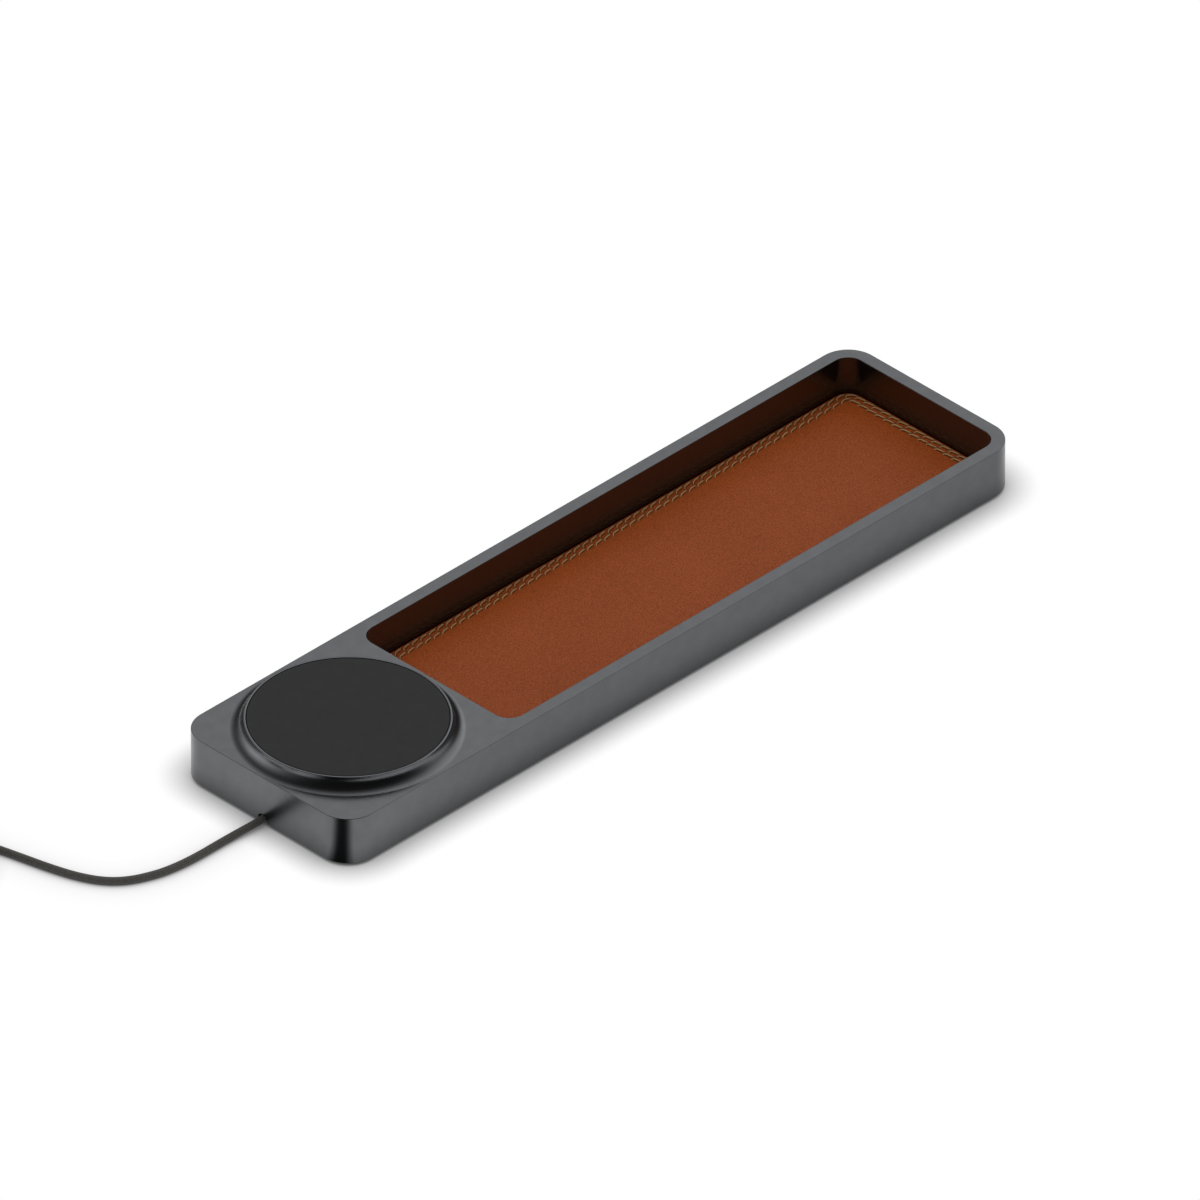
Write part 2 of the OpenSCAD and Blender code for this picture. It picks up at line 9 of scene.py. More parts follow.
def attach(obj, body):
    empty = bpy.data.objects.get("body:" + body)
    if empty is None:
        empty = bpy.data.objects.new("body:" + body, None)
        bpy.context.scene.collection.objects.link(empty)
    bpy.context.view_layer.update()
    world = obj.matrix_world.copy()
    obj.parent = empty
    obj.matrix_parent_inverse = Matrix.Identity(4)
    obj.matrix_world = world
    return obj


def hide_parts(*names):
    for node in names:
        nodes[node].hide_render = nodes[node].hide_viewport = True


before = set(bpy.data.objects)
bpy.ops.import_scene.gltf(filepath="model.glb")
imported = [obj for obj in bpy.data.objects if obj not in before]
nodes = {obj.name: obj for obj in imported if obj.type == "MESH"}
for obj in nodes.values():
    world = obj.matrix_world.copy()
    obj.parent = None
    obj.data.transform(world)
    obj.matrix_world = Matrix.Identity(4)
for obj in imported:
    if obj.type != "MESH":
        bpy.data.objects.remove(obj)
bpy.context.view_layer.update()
mm = 0.001
print("frame loaded:", len(nodes), "nodes")

# camera: an isometric view, taken with a very long lens from far away
shot = {"target": (3.34, 3.22, 6.55), "azimuth": -45.0, "elevation": 35.2644, "lens": 1500.0,
        "sensor": 36.0, "distance": 13.44}
azimuth, elevation = math.radians(shot["azimuth"]), math.radians(shot["elevation"])
back = Vector((math.sin(azimuth) * math.cos(elevation), -math.cos(azimuth) * math.cos(elevation),
               math.sin(elevation)))
cameraData = bpy.data.cameras.new("longLens")
cameraData.lens = shot["lens"]
cameraData.sensor_width = shot["sensor"]
cameraData.clip_start, cameraData.clip_end = 1.0, 60.0
camera = bpy.data.objects.new("longLens", cameraData)
bpy.context.scene.collection.objects.link(camera)
camera.location = Vector(shot["target"]) * mm + back * shot["distance"]
camera.rotation_euler = (-back).to_track_quat("-Z", "Y").to_euler()
bpy.context.scene.camera = camera
bpy.context.scene.view_settings.view_transform = "Standard"


# mesh helpers: every shape is worked out in millimetres and put into its mesh in metres
def faceOutwards(mesh, mergeWithin=0.0):
    # merges points closer than the distance in millimetres, then turns every closed shell's faces out
    work = bmesh.new()
    work.from_mesh(mesh)
    if mergeWithin:
        bmesh.ops.remove_doubles(work, verts=work.verts, dist=mergeWithin * mm)
    bmesh.ops.recalc_face_normals(work, faces=work.faces)
    work.to_mesh(mesh)
    work.free()
    mesh.update()


def addPiece(name, verts, faces, standsFor=(), smooth=True, uv=None):
    mesh = bpy.data.meshes.new(name)
    mesh.from_pydata((np.asarray(verts, float) * mm).tolist(), [], [list(f) for f in faces])
    faceOutwards(mesh)
    mesh.polygons.foreach_set("use_smooth", [smooth] * len(mesh.polygons))
    if uv is not None:
        loops = np.zeros(len(mesh.loops), int)
        mesh.loops.foreach_get("vertex_index", loops)
        layer = mesh.uv_layers.new(name="UVMap")
        layer.data.foreach_set("uv", np.asarray(uv, float)[loops].ravel())
    piece = bpy.data.objects.new(name, mesh)
    bpy.context.scene.collection.objects.link(piece)
    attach(piece, "root")
    if standsFor:
        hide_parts(*standsFor)
    return piece


def gridFaces(rows, columns, closeRows=False, closeColumns=False):
    # quads between neighbouring rows and columns of a grid stored row by row
    i = np.arange(rows if closeRows else rows - 1)
    j = np.arange(columns if closeColumns else columns - 1)
    i, j = np.meshgrid(i, j, indexing="ij")
    i2, j2 = (i + 1) % rows, (j + 1) % columns
    quads = np.stack([i * columns + j, i2 * columns + j, i2 * columns + j2, i * columns + j2], -1)
    return quads.reshape(-1, 4).tolist()


def together(parts):
    # one list of points and one of faces from patches given as (points, faces)
    points, faces, start = [], [], 0
    for p, f in parts:
        points.append(np.asarray(p, float))
        faces += [[k + start for k in face] for face in f]
        start += len(p)
    return np.concatenate(points), faces


def roundRect(x0, x1, width, radius, steps=16, along=0.0):
    # outline of a rectangle with round corners, anticlockwise, as points and outward normals;
    # with along, straight sides are cut into pieces of about that length
    halfW = width / 2
    corners = [(x1 - radius, halfW - radius, 0), (x0 + radius, halfW - radius, 90),
               (x0 + radius, radius - halfW, 180), (x1 - radius, radius - halfW, 270)]
    points, normals = [], []
    for cx, cy, first in corners:
        a = np.radians(first + np.linspace(0, 90, steps + 1))
        n = np.stack([np.cos(a), np.sin(a)], -1)
        p = np.array([cx, cy]) + radius * n
        if along and points:
            count = max(1, int(round(np.linalg.norm(p[0] - points[-1][-1]) / along)))
            t = np.linspace(0, 1, count + 1)[1:-1, None]
            points.append(points[-1][-1] * (1 - t) + p[0] * t)
            normals.append(np.repeat(n[:1], len(t), 0))
        points.append(p)
        normals.append(n)
    if along:
        count = max(1, int(round(np.linalg.norm(points[0][0] - points[-1][-1]) / along)))
        t = np.linspace(0, 1, count + 1)[1:-1, None]
        points.append(points[-1][-1] * (1 - t) + points[0][0] * t)
        normals.append(np.repeat(normals[0][:1], len(t), 0))
    return np.concatenate(points), np.concatenate(normals)


def ringOutline(cx, cy, radius, steps):
    a = np.linspace(0, 2 * np.pi, steps, endpoint=False)
    n = np.stack([np.cos(a), np.sin(a)], -1)
    return np.array([cx, cy]) + radius * n, n


def sweep(outline, profile):
    # profile rows are (distance outwards from the outline, height); the outline is closed, and
    # faces look to the right of the profile's way when it climbs
    points, normals = outline
    profile = np.asarray(profile, float)
    flat = points[:, None, :] + normals[:, None, :] * profile[None, :, :1]
    high = np.broadcast_to(profile[None, :, 1:2], flat.shape[:2] + (1,))
    verts = np.concatenate([flat, high], -1)
    return verts.reshape(-1, 3), gridFaces(len(points), len(profile), closeRows=True)


def bend(cx, cz, radius, first, last, steps=5):
    # arc in a profile's plane, angles in degrees from the outward direction towards up
    a = np.radians(np.linspace(first, last, steps))
    return np.stack([cx + radius * np.cos(a), cz + radius * np.sin(a)], -1)


def insideRoundRect(p, x0, x1, width, radius):
    q = np.abs(p - np.array([(x0 + x1) / 2, 0])) - np.array([(x1 - x0) / 2 - radius, width / 2 - radius])
    return np.hypot(*np.maximum(q, 0).T) + np.minimum(q.max(1), 0) < radius


def flatFill(loops, height, keep, up=True):
    # triangles between closed loops in one plane, kept where keep says that their middle is metal
    points = np.concatenate(loops)
    edges, start = [], 0
    for loop in loops:
        k = np.arange(len(loop))
        edges += np.stack([start + k, start + (k + 1) % len(loop)], -1).tolist()
        start += len(loop)
    flat, _, faces, *_ = delaunay_2d_cdt([Vector(p) for p in points], edges, [], 0, 1e-7)
    flat = np.array([tuple(p) for p in flat])
    faces = np.array(faces)
    faces = faces[keep(flat[faces].mean(1))]
    a, b, c = flat[faces[:, 0]], flat[faces[:, 1]], flat[faces[:, 2]]
    turn = (b[:, 0] - a[:, 0]) * (c[:, 1] - a[:, 1]) - (b[:, 1] - a[:, 1]) * (c[:, 0] - a[:, 0])
    flip = (turn > 0) != up
    faces[flip] = faces[flip][:, ::-1]
    return np.column_stack([flat, np.full(len(flat), height)]), faces.tolist()


def unit(v):
    return v / np.linalg.norm(v, axis=-1, keepdims=True)


def tubeRings(path, radius, sides):
    # rings of points round a path that never runs straight up, first point at its lowest side
    way = unit(np.gradient(path, axis=0))
    side = unit(np.cross([0.0, 0.0, 1.0], way))
    up = np.cross(way, side)
    a = np.linspace(0, 2 * np.pi, sides, endpoint=False) - np.pi / 2
    ring = np.cos(a)[None, :, None] * side[:, None, :] + np.sin(a)[None, :, None] * up[:, None, :]
    return path[:, None, :] + radius * ring


def tubeMesh(path, radius, sides):
    rings = tubeRings(path, radius, sides)
    count = len(path)
    faces = [f[::-1] for f in gridFaces(count, sides, closeColumns=True)]
    faces.append(list(range(sides)))
    faces.append(list(range(count * sides - 1, (count - 1) * sides - 1, -1)))
    return rings.reshape(-1, 3), faces


def smoothStep(x):
    x = np.clip(x, 0, 1)
    return x * x * (3 - 2 * x)


def curveThrough(points, step):
    # Catmull-Rom curve through the points, sampled about every step
    p = np.asarray(points, float)
    p = np.concatenate([[2 * p[0] - p[1]], p, [2 * p[-1] - p[-2]]])
    out = []
    for k in range(1, len(p) - 2):
        count = max(1, int(round(np.linalg.norm(p[k + 1] - p[k]) / step)))
        t = np.linspace(0, 1, count, endpoint=False)[:, None]
        out.append(0.5 * (2 * p[k] + (p[k + 1] - p[k - 1]) * t
                          + (2 * p[k - 1] - 5 * p[k] + 4 * p[k + 1] - p[k + 2]) * t ** 2
                          + (3 * p[k] - p[k - 1] - 3 * p[k + 1] + p[k + 2]) * t ** 3))
    out.append(p[-2:-1])
    return np.concatenate(out)


# the free cord: out of the notch, over the table, and into the stored coil
cord = {"diameter": 2.2, "sides": 20, "ringStep": 0.7,
        "way": [(-0.1236, 0, 0.0018), (-0.1275, 0, 0.0018), (-0.131, 0.0001, 0.0017),
                (-0.135, 0.0004, 0.0015), (-0.1398, 0.0008, 0.0012), (-0.1448, 0.0009, 0.0011),
                (-0.1498, 0.0009, 0.0011), (-0.1545, 0.0011, 0.0011), (-0.1589, 0.0016, 0.0011),
                (-0.163, 0.0024, 0.0011), (-0.1666, 0.0036, 0.0011), (-0.17, 0.0051, 0.0011),
                (-0.173, 0.007, 0.0011), (-0.1755, 0.0093, 0.0011), (-0.1776, 0.0121, 0.0011),
                (-0.1793, 0.0153, 0.0011), (-0.1808, 0.019, 0.0011), (-0.182, 0.0229, 0.0011),
                (-0.1831, 0.027, 0.0011), (-0.1841, 0.0313, 0.0011), (-0.1852, 0.036, 0.0011),
                (-0.1864, 0.041, 0.0011), (-0.1876, 0.046, 0.0011), (-0.1888, 0.051, 0.0011),
                (-0.19, 0.056, 0.0011)]}
coil = {"turns": 17.75, "layers": 4, "pitch": 2.65, "meanRadius": 12.0, "climb": 0.5,
        "tieAngle": 95.0, "tieWidth": 6.0, "tieThick": 0.7, "tieFit": 0.15, "leadIn": 2.42,
        "tailRadius": 7.0, "tailTurn": 121.5, "tailRise": 2.05}
layerTurns = coil["turns"] / coil["layers"]
coilOut = coil["meanRadius"] + layerTurns * coil["pitch"] / 2
coilIn = coil["meanRadius"] - layerTurns * coil["pitch"] / 2
cordR = cord["diameter"] / 2


def coilRadius(turns):
    # spirals in and out by one pitch a turn, and turns back at each new layer
    layer = np.floor(turns / layerTurns)
    f = turns - layer * layerTurns
    return coilOut - coil["pitch"] * np.where(layer % 2 == 0, f, layerTurns - f)


def coilHeight(turns):
    # climbs a layer in half a turn, and lifts where the strap passes under
    off = np.abs((turns * 360 - coil["tieAngle"] + 540) % 360 - 180)
    lift = (coil["tieThick"] + coil["tieFit"]) * smoothStep((100 - off) / 60)
    climbs = sum(smoothStep((turns - k * layerTurns) / coil["climb"] + 0.5) for k in range(1, coil["layers"] + 1))
    return cordR + lift + coil["pitch"] * climbs


runPath = curveThrough(np.array(cord["way"]) / mm, cord["ringStep"])
heading = math.atan2(5.0, -1.2)
turnIn = heading - math.pi / 2
coilAxes = np.array([[math.cos(turnIn), -math.sin(turnIn), 0], [math.sin(turnIn), math.cos(turnIn), 0], [0, 0, 1]])
coilPlace = np.array([runPath[-1][0], runPath[-1][1], 0])


def toCoil(points):
    return (np.asarray(points, float) + [-coilOut, coil["leadIn"], 0]) @ coilAxes.T + coilPlace


wound = coil["turns"] + coil["climb"] / 2
turns = np.linspace(0, wound, int(wound * 100) + 1)
wind = np.stack([coilRadius(turns) * np.cos(turns * 2 * np.pi), coilRadius(turns) * np.sin(turns * 2 * np.pi),
                 coilHeight(turns)], -1)
bendAngle = np.radians(np.linspace(0, coil["tailTurn"], 22)[1:])
tailX, tailZ = coilRadius(np.array([wound]))[0], cordR + coil["layers"] * coil["pitch"]
tail = np.stack([tailX - coil["tailRadius"] * (1 - np.cos(bendAngle)), coil["tailRadius"] * np.sin(bendAngle),
                 tailZ + coil["tailRise"] * smoothStep(np.linspace(0, 1, 22)[1:])], -1)
plugWay = np.array([math.cos(math.radians(90 + coil["tailTurn"])), math.sin(math.radians(90 + coil["tailTurn"])), 0])
tailEnd = tail[-1] + 1.2 * cord["diameter"] * plugWay
tailStraight = tail[-1] + np.linspace(0, 1, 5)[1:, None] * (tailEnd - tail[-1])
leadStraight = np.stack([np.full(4, coilOut), np.linspace(-coil["leadIn"], 0, 5)[:-1], np.full(4, cordR)], -1)
coilPath = toCoil(np.concatenate([leadStraight, wind, tail, tailStraight]))
cordPath = np.concatenate([runPath, coilPath[1:]])
cordVerts, cordFaces = tubeMesh(cordPath, cordR, cord["sides"])
cordLength = np.concatenate([[0], np.cumsum(np.linalg.norm(np.diff(cordPath, axis=0), axis=1))])
around = np.arange(cord["sides"]) / cord["sides"]
cordUv = np.stack(np.broadcast_arrays(around[None, :], cordLength[:, None] / (np.pi * cord["diameter"])), -1)
freeCord = addPiece("freeCord", cordVerts, cordFaces, ("cord_run", "cord_coil"), uv=cordUv.reshape(-1, 2))
print("cord made:", round(cordLength[-1]), "mm long")

# the rest of the cord's own pieces: inside the bay, strap, bend relief and plug
innerWay = [(-123.55, 0, 1.8), (-121.8, 0, 1.8), (-119.2, 0, 2.64), (-116.8, 0, 4.4), (-114.6, 0, 5.8),
            (-113.6, 0, 6), (-108, 0, 6), (-106, 0, 5.85), (-102.3, 0, 5.5), (-101.15, 0, 5.5)]
innerPath = curveThrough(innerWay, 0.5)
innerVerts, innerFaces = tubeMesh(innerPath, cordR - 0.05, cord["sides"])
innerLength = np.concatenate([[0], np.cumsum(np.linalg.norm(np.diff(innerPath, axis=0), axis=1))])
innerUv = np.stack(np.broadcast_arrays(around[None, :], innerLength[:, None] / (np.pi * cord["diameter"])), -1)
innerCord = addPiece("innerCord", innerVerts, innerFaces, ("cord_inner",), uv=innerUv.reshape(-1, 2))


def closeSeam(piece):
    # the last strip round a tube runs on past 1 instead of back to 0
    mesh = piece.data
    layer = mesh.uv_layers["UVMap"].data
    uv = np.zeros(len(layer) * 2)
    layer.foreach_get("uv", uv)
    uv = uv.reshape(-1, 2)
    starts, totals = np.zeros(len(mesh.polygons), int), np.zeros(len(mesh.polygons), int)
    mesh.polygons.foreach_get("loop_start", starts)
    mesh.polygons.foreach_get("loop_total", totals)
    quads = starts[totals == 4][:, None] + np.arange(4)
    u = uv[quads, 0]
    wraps = (u.max(1) - u.min(1)) > 0.5
    fixed = u[wraps]
    fixed[fixed < 0.5] += 1
    uv[quads[wraps], 0] = fixed
    layer.foreach_set("uv", uv.ravel())


closeSeam(freeCord)
closeSeam(innerCord)

plugAxes = np.stack([np.array([-plugWay[1], plugWay[0], 0]), np.array([0, 0, 1.0]), plugWay], 0)


def toPlug(points):
    # x across the plug, y up, z along it from the end of the cord
    return toCoil(tailEnd + np.asarray(points, float) @ plugAxes)


def capped(faces, rings, columns):
    # closes a sweep at its first and last profile point
    return faces + [[i * columns for i in range(rings)][::-1], [i * columns + columns - 1 for i in range(rings)]]


def stadium(width, height, steps=14):
    return roundRect(-width / 2, width / 2, height, height / 2 - 0.001, steps)


plug = {"relief": 9.0, "grip": 18.0, "width": 12.0, "thick": 6.4,
        "shell": 6.6, "shellWidth": 8.3, "shellThick": 2.5,
        "shellWall": 0.3, "round": 0.7, "neckIn": 1.3, "neckEdge": 0.35, "shoulder": 4.6,
        "reliefSides": 40, "ribs": 5}
gripOutline = stadium(plug["width"], plug["thick"])
z0, z1, soft = plug["relief"], plug["relief"] + plug["grip"], plug["round"]
shoulder = np.linspace(0, 1, 12)[1:]
gripProfile = np.concatenate([
    bend(-plug["neckIn"] - plug["neckEdge"], z0 + plug["neckEdge"], plug["neckEdge"], -90, 0, 5),
    np.stack([-plug["neckIn"] * (1 - smoothStep(shoulder)), z0 + plug["neckEdge"] + plug["shoulder"] * shoulder], -1),
    bend(-soft, z1 - soft, soft, 0, 90, 7)])
verts, faces = sweep(gripOutline, gripProfile)
plugGrip = addPiece("plugGrip", toPlug(verts), capped(faces, len(gripOutline[0]), len(gripProfile)),
                    ("plug_grip",))
shellOutline = stadium(plug["shellWidth"], plug["shellThick"])
wallT, z2 = plug["shellWall"], z1 + plug["shell"]
shellProfile = np.concatenate([[[0, z1 - 0.4]], bend(-0.12, z2 - 0.12, 0.12, 0, 90, 4),
                               bend(-wallT + 0.12, z2 - 0.12, 0.12, 90, 180, 4), [[-wallT, z1 - 0.4]]])
verts, faces = sweep(shellOutline, shellProfile)
count = len(shellOutline[0])
rows = len(shellProfile)
faces += [[i * rows, (i + 1) % count * rows, ((i + 1) % count + 1) * rows - 1, (i + 1) * rows - 1][::-1]
          for i in range(count)]
plugShell = addPiece("plugShell", toPlug(verts), faces, ("plug_shell",))
along = np.linspace(0, 1, 46)
ribs = 0.125 * (1 + np.cos(along * plug["ribs"] * 2 * np.pi)) - 0.25
taper = cordR + 0.35 + (plug["thick"] / 2 - 1.2 - cordR - 0.35) * along + ribs * (along < 0.96)
reliefProfile = np.column_stack([np.concatenate([[cordR + 0.05], taper, [taper[-1]]]) - cordR,
                                 np.concatenate([[0], 0.06 + along * (plug["relief"] - 0.1),
                                                 [plug["relief"] + 0.5]])])
reliefOutline = ringOutline(0, 0, cordR, plug["reliefSides"])
verts, faces = sweep(reliefOutline, reliefProfile)
plugRelief = addPiece("plugRelief", toPlug(verts), capped(faces, plug["reliefSides"], len(reliefProfile)),
                      ("plug_relief",))

# strap round the bundle of turns: a rounded band
strap = {"angle": math.radians(coil["tieAngle"]), "loopSteps": 10, "edge": 0.3}
strapIn = math.sqrt(coilIn ** 2 - coil["tieWidth"] ** 2 / 4) - cordR - coil["tieFit"]
strapOut = coilOut + cordR + coil["tieFit"]
stackH = (coil["layers"] - 1) * coil["pitch"] + cord["diameter"] + 2 * coil["tieFit"]
bendR = cordR + coil["tieFit"]
loopPoints, loopNormals = roundRect(strapIn, strapOut, stackH, bendR, strap["loopSteps"], along=1.2)
thick, halfWide, edge = coil["tieThick"], coil["tieWidth"] / 2, strap["edge"]
section = np.concatenate([bend(thick - edge, -halfWide + edge, edge, -90, 0, 5),
                          bend(thick - edge, halfWide - edge, edge, 0, 90, 5),
                          bend(0.1, halfWide - 0.1, 0.1, 90, 180, 3),
                          bend(0.1, -halfWide + 0.1, 0.1, 180, 270, 3)])
flat = loopPoints[:, None, :] + loopNormals[:, None, :] * section[None, :, :1]
radial, tall = flat[..., 0], flat[..., 1] + thick + stackH / 2
wide = np.broadcast_to(section[None, :, 1], radial.shape)
ca, sa = math.cos(strap["angle"]), math.sin(strap["angle"])
strapVerts = np.stack([radial * ca + wide * sa, radial * sa - wide * ca, tall], -1).reshape(-1, 3)
strapFaces = gridFaces(len(loopPoints), len(section), closeRows=True, closeColumns=True)
loopLength = np.concatenate([[0], np.cumsum(np.linalg.norm(np.diff(loopPoints, axis=0), axis=1))])
strapUv = np.stack(np.broadcast_arrays(section[None, :, 1] / 10, loopLength[:, None] / 10), -1).reshape(-1, 2)
cordTie = addPiece("cordTie", toCoil(strapVerts), strapFaces, ("cord_tie",), uv=strapUv)
print("plug and strap made")

# the metal body: one closed skin with every outer edge rounded
body = {"length": 255.0, "width": 65.0, "low": 1.0, "top": 15.5, "corner": 9.0, "wall": 3.9, "edge": 0.15,
        "puckX": -95.2, "lipZ": 19.2, "toeR": 31.75, "cove": 3.7, "boreR": 27.4, "lipEdge": 0.12, "seatZ": 12.6,
        "webR": 6.0, "ceilingZ": 11.0, "pocketFrom": -62.9, "floorZ": 2.6, "coverZ": 2.2, "ledge": 1.5,
        "bayTo": -66.4, "footR": 6.15, "footZ": 1.4, "notch": 3.5, "notchZ": 1.8,
        "footX": 115.0, "footY": 21.0, "footSteps": 48, "ringSteps": 180}
halfL, e = body["length"] / 2, body["edge"]
pocketTo, pocketW = halfL - body["wall"], body["width"] - 2 * body["wall"]
innerR = body["corner"] - body["wall"]
outer = roundRect(-halfL, halfL, body["width"], body["corner"], 24)
outerProfile = np.concatenate([bend(-e, body["low"] + e, e, -90, 0), bend(-e, body["top"] - e, e, 0, 90)])
pocket = roundRect(body["pocketFrom"], pocketTo, pocketW, innerR, 20)
pocketProfile = np.concatenate([bend(e, body["top"] - e, e, 90, 180), [[0, body["floorZ"]]]])
toeR, le = body["toeR"], body["lipEdge"]
pedestal = ringOutline(body["puckX"], 0, toeR, body["ringSteps"])
pedestalProfile = np.concatenate([
    bend(0, body["lipZ"], body["cove"], 270, 182, 20), bend(-body["cove"] - le, body["lipZ"] - le, le, 0, 90, 4),
    bend(body["boreR"] + le - toeR, body["lipZ"] - le, le, 90, 180, 4), [[body["boreR"] - toeR, body["seatZ"]]],
    [[body["webR"] - toeR, body["seatZ"]]], [[body["webR"] - toeR, body["ceilingZ"]]]])
bayX = (-halfL + body["wall"], body["bayTo"])
bay = roundRect(bayX[0], bayX[1], pocketW, innerR, 12)
bayProfile = [[0, body["ceilingZ"]], [0, body["coverZ"]], [body["ledge"], body["coverZ"]],
              [body["ledge"], body["low"] + 0.15], [body["ledge"] + 0.15, body["low"]]]
feet = [ringOutline(body["footX"], y, body["footR"], body["footSteps"]) for y in (-body["footY"], body["footY"])]
footProfile = [[-body["footR"], body["footZ"]], [0, body["footZ"]], [0, body["low"]]]


def ringAt(outline, offset):
    return outline[0] + outline[1] * offset


def offRing(p, cx, cy, radius, steps):
    # outside the many-sided ring that ringOutline gives, measured to its straight edges
    half = np.pi / steps
    turn = np.arctan2(p[:, 1] - cy, p[:, 0] - cx) % (2 * half) - half
    return np.hypot(p[:, 0] - cx, p[:, 1] - cy) > radius * np.cos(half) / np.cos(turn)


topFill = flatFill(
    [ringAt(outer, -e), ringAt(pedestal, 0), ringAt(pocket, e)], body["top"],
    lambda p: insideRoundRect(p, -halfL + e, halfL - e, body["width"] - 2 * e, body["corner"] - e)
    & offRing(p, body["puckX"], 0, toeR, body["ringSteps"])
    & ~insideRoundRect(p, body["pocketFrom"] - e, pocketTo + e, pocketW + 2 * e, innerR + e))
pocketFill = flatFill([ringAt(pocket, 0)], body["floorZ"], lambda p: p[:, 0] > -1e9)
webRing = pedestal[0] + pedestal[1] * (body["webR"] - toeR)
ceilingFill = flatFill([ringAt(bay, 0), webRing], body["ceilingZ"],
                       lambda p: offRing(p, body["puckX"], 0, body["webR"], body["ringSteps"]), up=False)
mouth = body["ledge"] + 0.15
underFill = flatFill(
    [ringAt(outer, -e), ringAt(bay, mouth)] + [ringAt(foot, 0) for foot in feet], body["low"],
    lambda p: ~insideRoundRect(p, bayX[0] - mouth, bayX[1] + mouth, pocketW + 2 * mouth, innerR + mouth)
    & offRing(p, body["footX"], -body["footY"], body["footR"], body["footSteps"])
    & offRing(p, body["footX"], body["footY"], body["footR"], body["footSteps"]), up=False)
skin = together([sweep(outer, outerProfile), sweep(pocket, pocketProfile), sweep(pedestal, pedestalProfile),
             sweep(bay, bayProfile)] + [sweep(foot, footProfile) for foot in feet]
            + [topFill, pocketFill, ceilingFill, underFill])


def makeMesh(name, verts, faces):
    mesh = bpy.data.meshes.new(name)
    mesh.from_pydata((np.asarray(verts, float) * mm).tolist(), [], [list(f) for f in faces])
    faceOutwards(mesh, mergeWithin=0.002)
    piece = bpy.data.objects.new(name, mesh)
    bpy.context.scene.collection.objects.link(piece)
    return piece


def settled(piece):
    # the mesh with its modifiers applied
    graph = bpy.context.evaluated_depsgraph_get()
    mesh = bpy.data.meshes.new_from_object(piece.evaluated_get(graph), depsgraph=graph)
    piece.modifiers.clear()
    piece.data = mesh
    return piece


trayBody = makeMesh("trayBody", *skin)
archR = body["notch"] / 2
archPoints = np.concatenate([bend(0, body["notchZ"], archR, 0, 180, 25), [[-archR, 0], [archR, 0]]])
archOuter = np.column_stack([np.full(len(archPoints), -halfL - 1.5), -archPoints[:, 0], archPoints[:, 1]])
archInner = archOuter + [body["wall"] + 3.0, 0, 0]
n = len(archPoints)
cutter = makeMesh("notchCutter", np.concatenate([archOuter, archInner]),
                  [list(range(n))[::-1], list(range(n, 2 * n))]
                  + [[i, (i + 1) % n, n + (i + 1) % n, n + i] for i in range(n)])
cut = trayBody.modifiers.new("notch", "BOOLEAN")
cut.operation, cut.solver, cut.object = "DIFFERENCE", "EXACT", cutter
settled(trayBody)
bpy.data.objects.remove(cutter)


def post(x, y, radius, hole, low, high, deep):
    # hollow post that hangs from the bay's ceiling
    return sweep(ringOutline(x, y, radius, 32), [[-radius, deep], [hole - radius, deep], [hole - radius, low],
                                                 [0, low], [0, high], [-radius, high]])


posts = [post(x, y, 3.5, 1.3, body["coverZ"], 11.5, 7.2) for x, y in
         ((-120.3, 11), (-120.3, -11), (-69.7, 25.3), (-69.7, -25.3))]
posts += [post(x, y, 2.4, 0.95, 8, 11.5, 10.6) for x in (-100.1, -72.1) for y in (-17, 17)]
postMesh = makeMesh("bayPosts", *together(posts))
joined = bmesh.new()
joined.from_mesh(trayBody.data)
joined.from_mesh(postMesh.data)
joined.to_mesh(trayBody.data)
joined.free()
bpy.data.objects.remove(postMesh)


def roundedShading(piece, angle=35):
    # smooth faces, hard only where faces meet at more than the angle, flat faces kept flat
    mesh = piece.data
    mesh.polygons.foreach_set("use_smooth", [True] * len(mesh.polygons))
    mesh.set_sharp_from_angle(angle=math.radians(angle))
    weighted = piece.modifiers.new("weighted", "WEIGHTED_NORMAL")
    weighted.keep_sharp, weighted.weight = True, 50
    settled(piece)


roundedShading(trayBody)
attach(trayBody, "root")
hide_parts("tray_body")
print("body made:", len(trayBody.data.polygons), "faces")

# the charging disc, soft to the touch, with a rounded rim
disc = {"radius": 27.25, "low": 18.2, "high": 19.2, "rim": 0.22}
discProfile = np.concatenate([[[-disc["radius"], disc["low"]], [0, disc["low"]]],
                              bend(-disc["rim"], disc["high"] - disc["rim"], disc["rim"], 0, 90, 6),
                              [[-disc["radius"], disc["high"]]]])
puckFace = makeMesh("puckFace", *together([sweep(ringOutline(body["puckX"], 0, disc["radius"], 320), discProfile)]))
roundedShading(puckFace)
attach(puckFace, "root")
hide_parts("puck_face")

# stitching: two rows of slanted stitches, in step with each other along every side
leather = {"x0": -62.7, "x1": 123.4, "width": 56.8, "radius": 4.9, "low": 3.0, "high": 4.0, "roll": 0.42}
stitching = {"rows": ((1.25, 145), (3.3, 141)), "thread": 0.215, "rise": 0.16, "phase": 118.9, "rings": 9, "sides": 6,
             "shape": [(-1.65, -0.75), (-1.35, -0.35), (-0.9, -0.1), (0, 0.05), (0.9, 0.2), (1.35, 0.4), (1.65, 0.8)]}


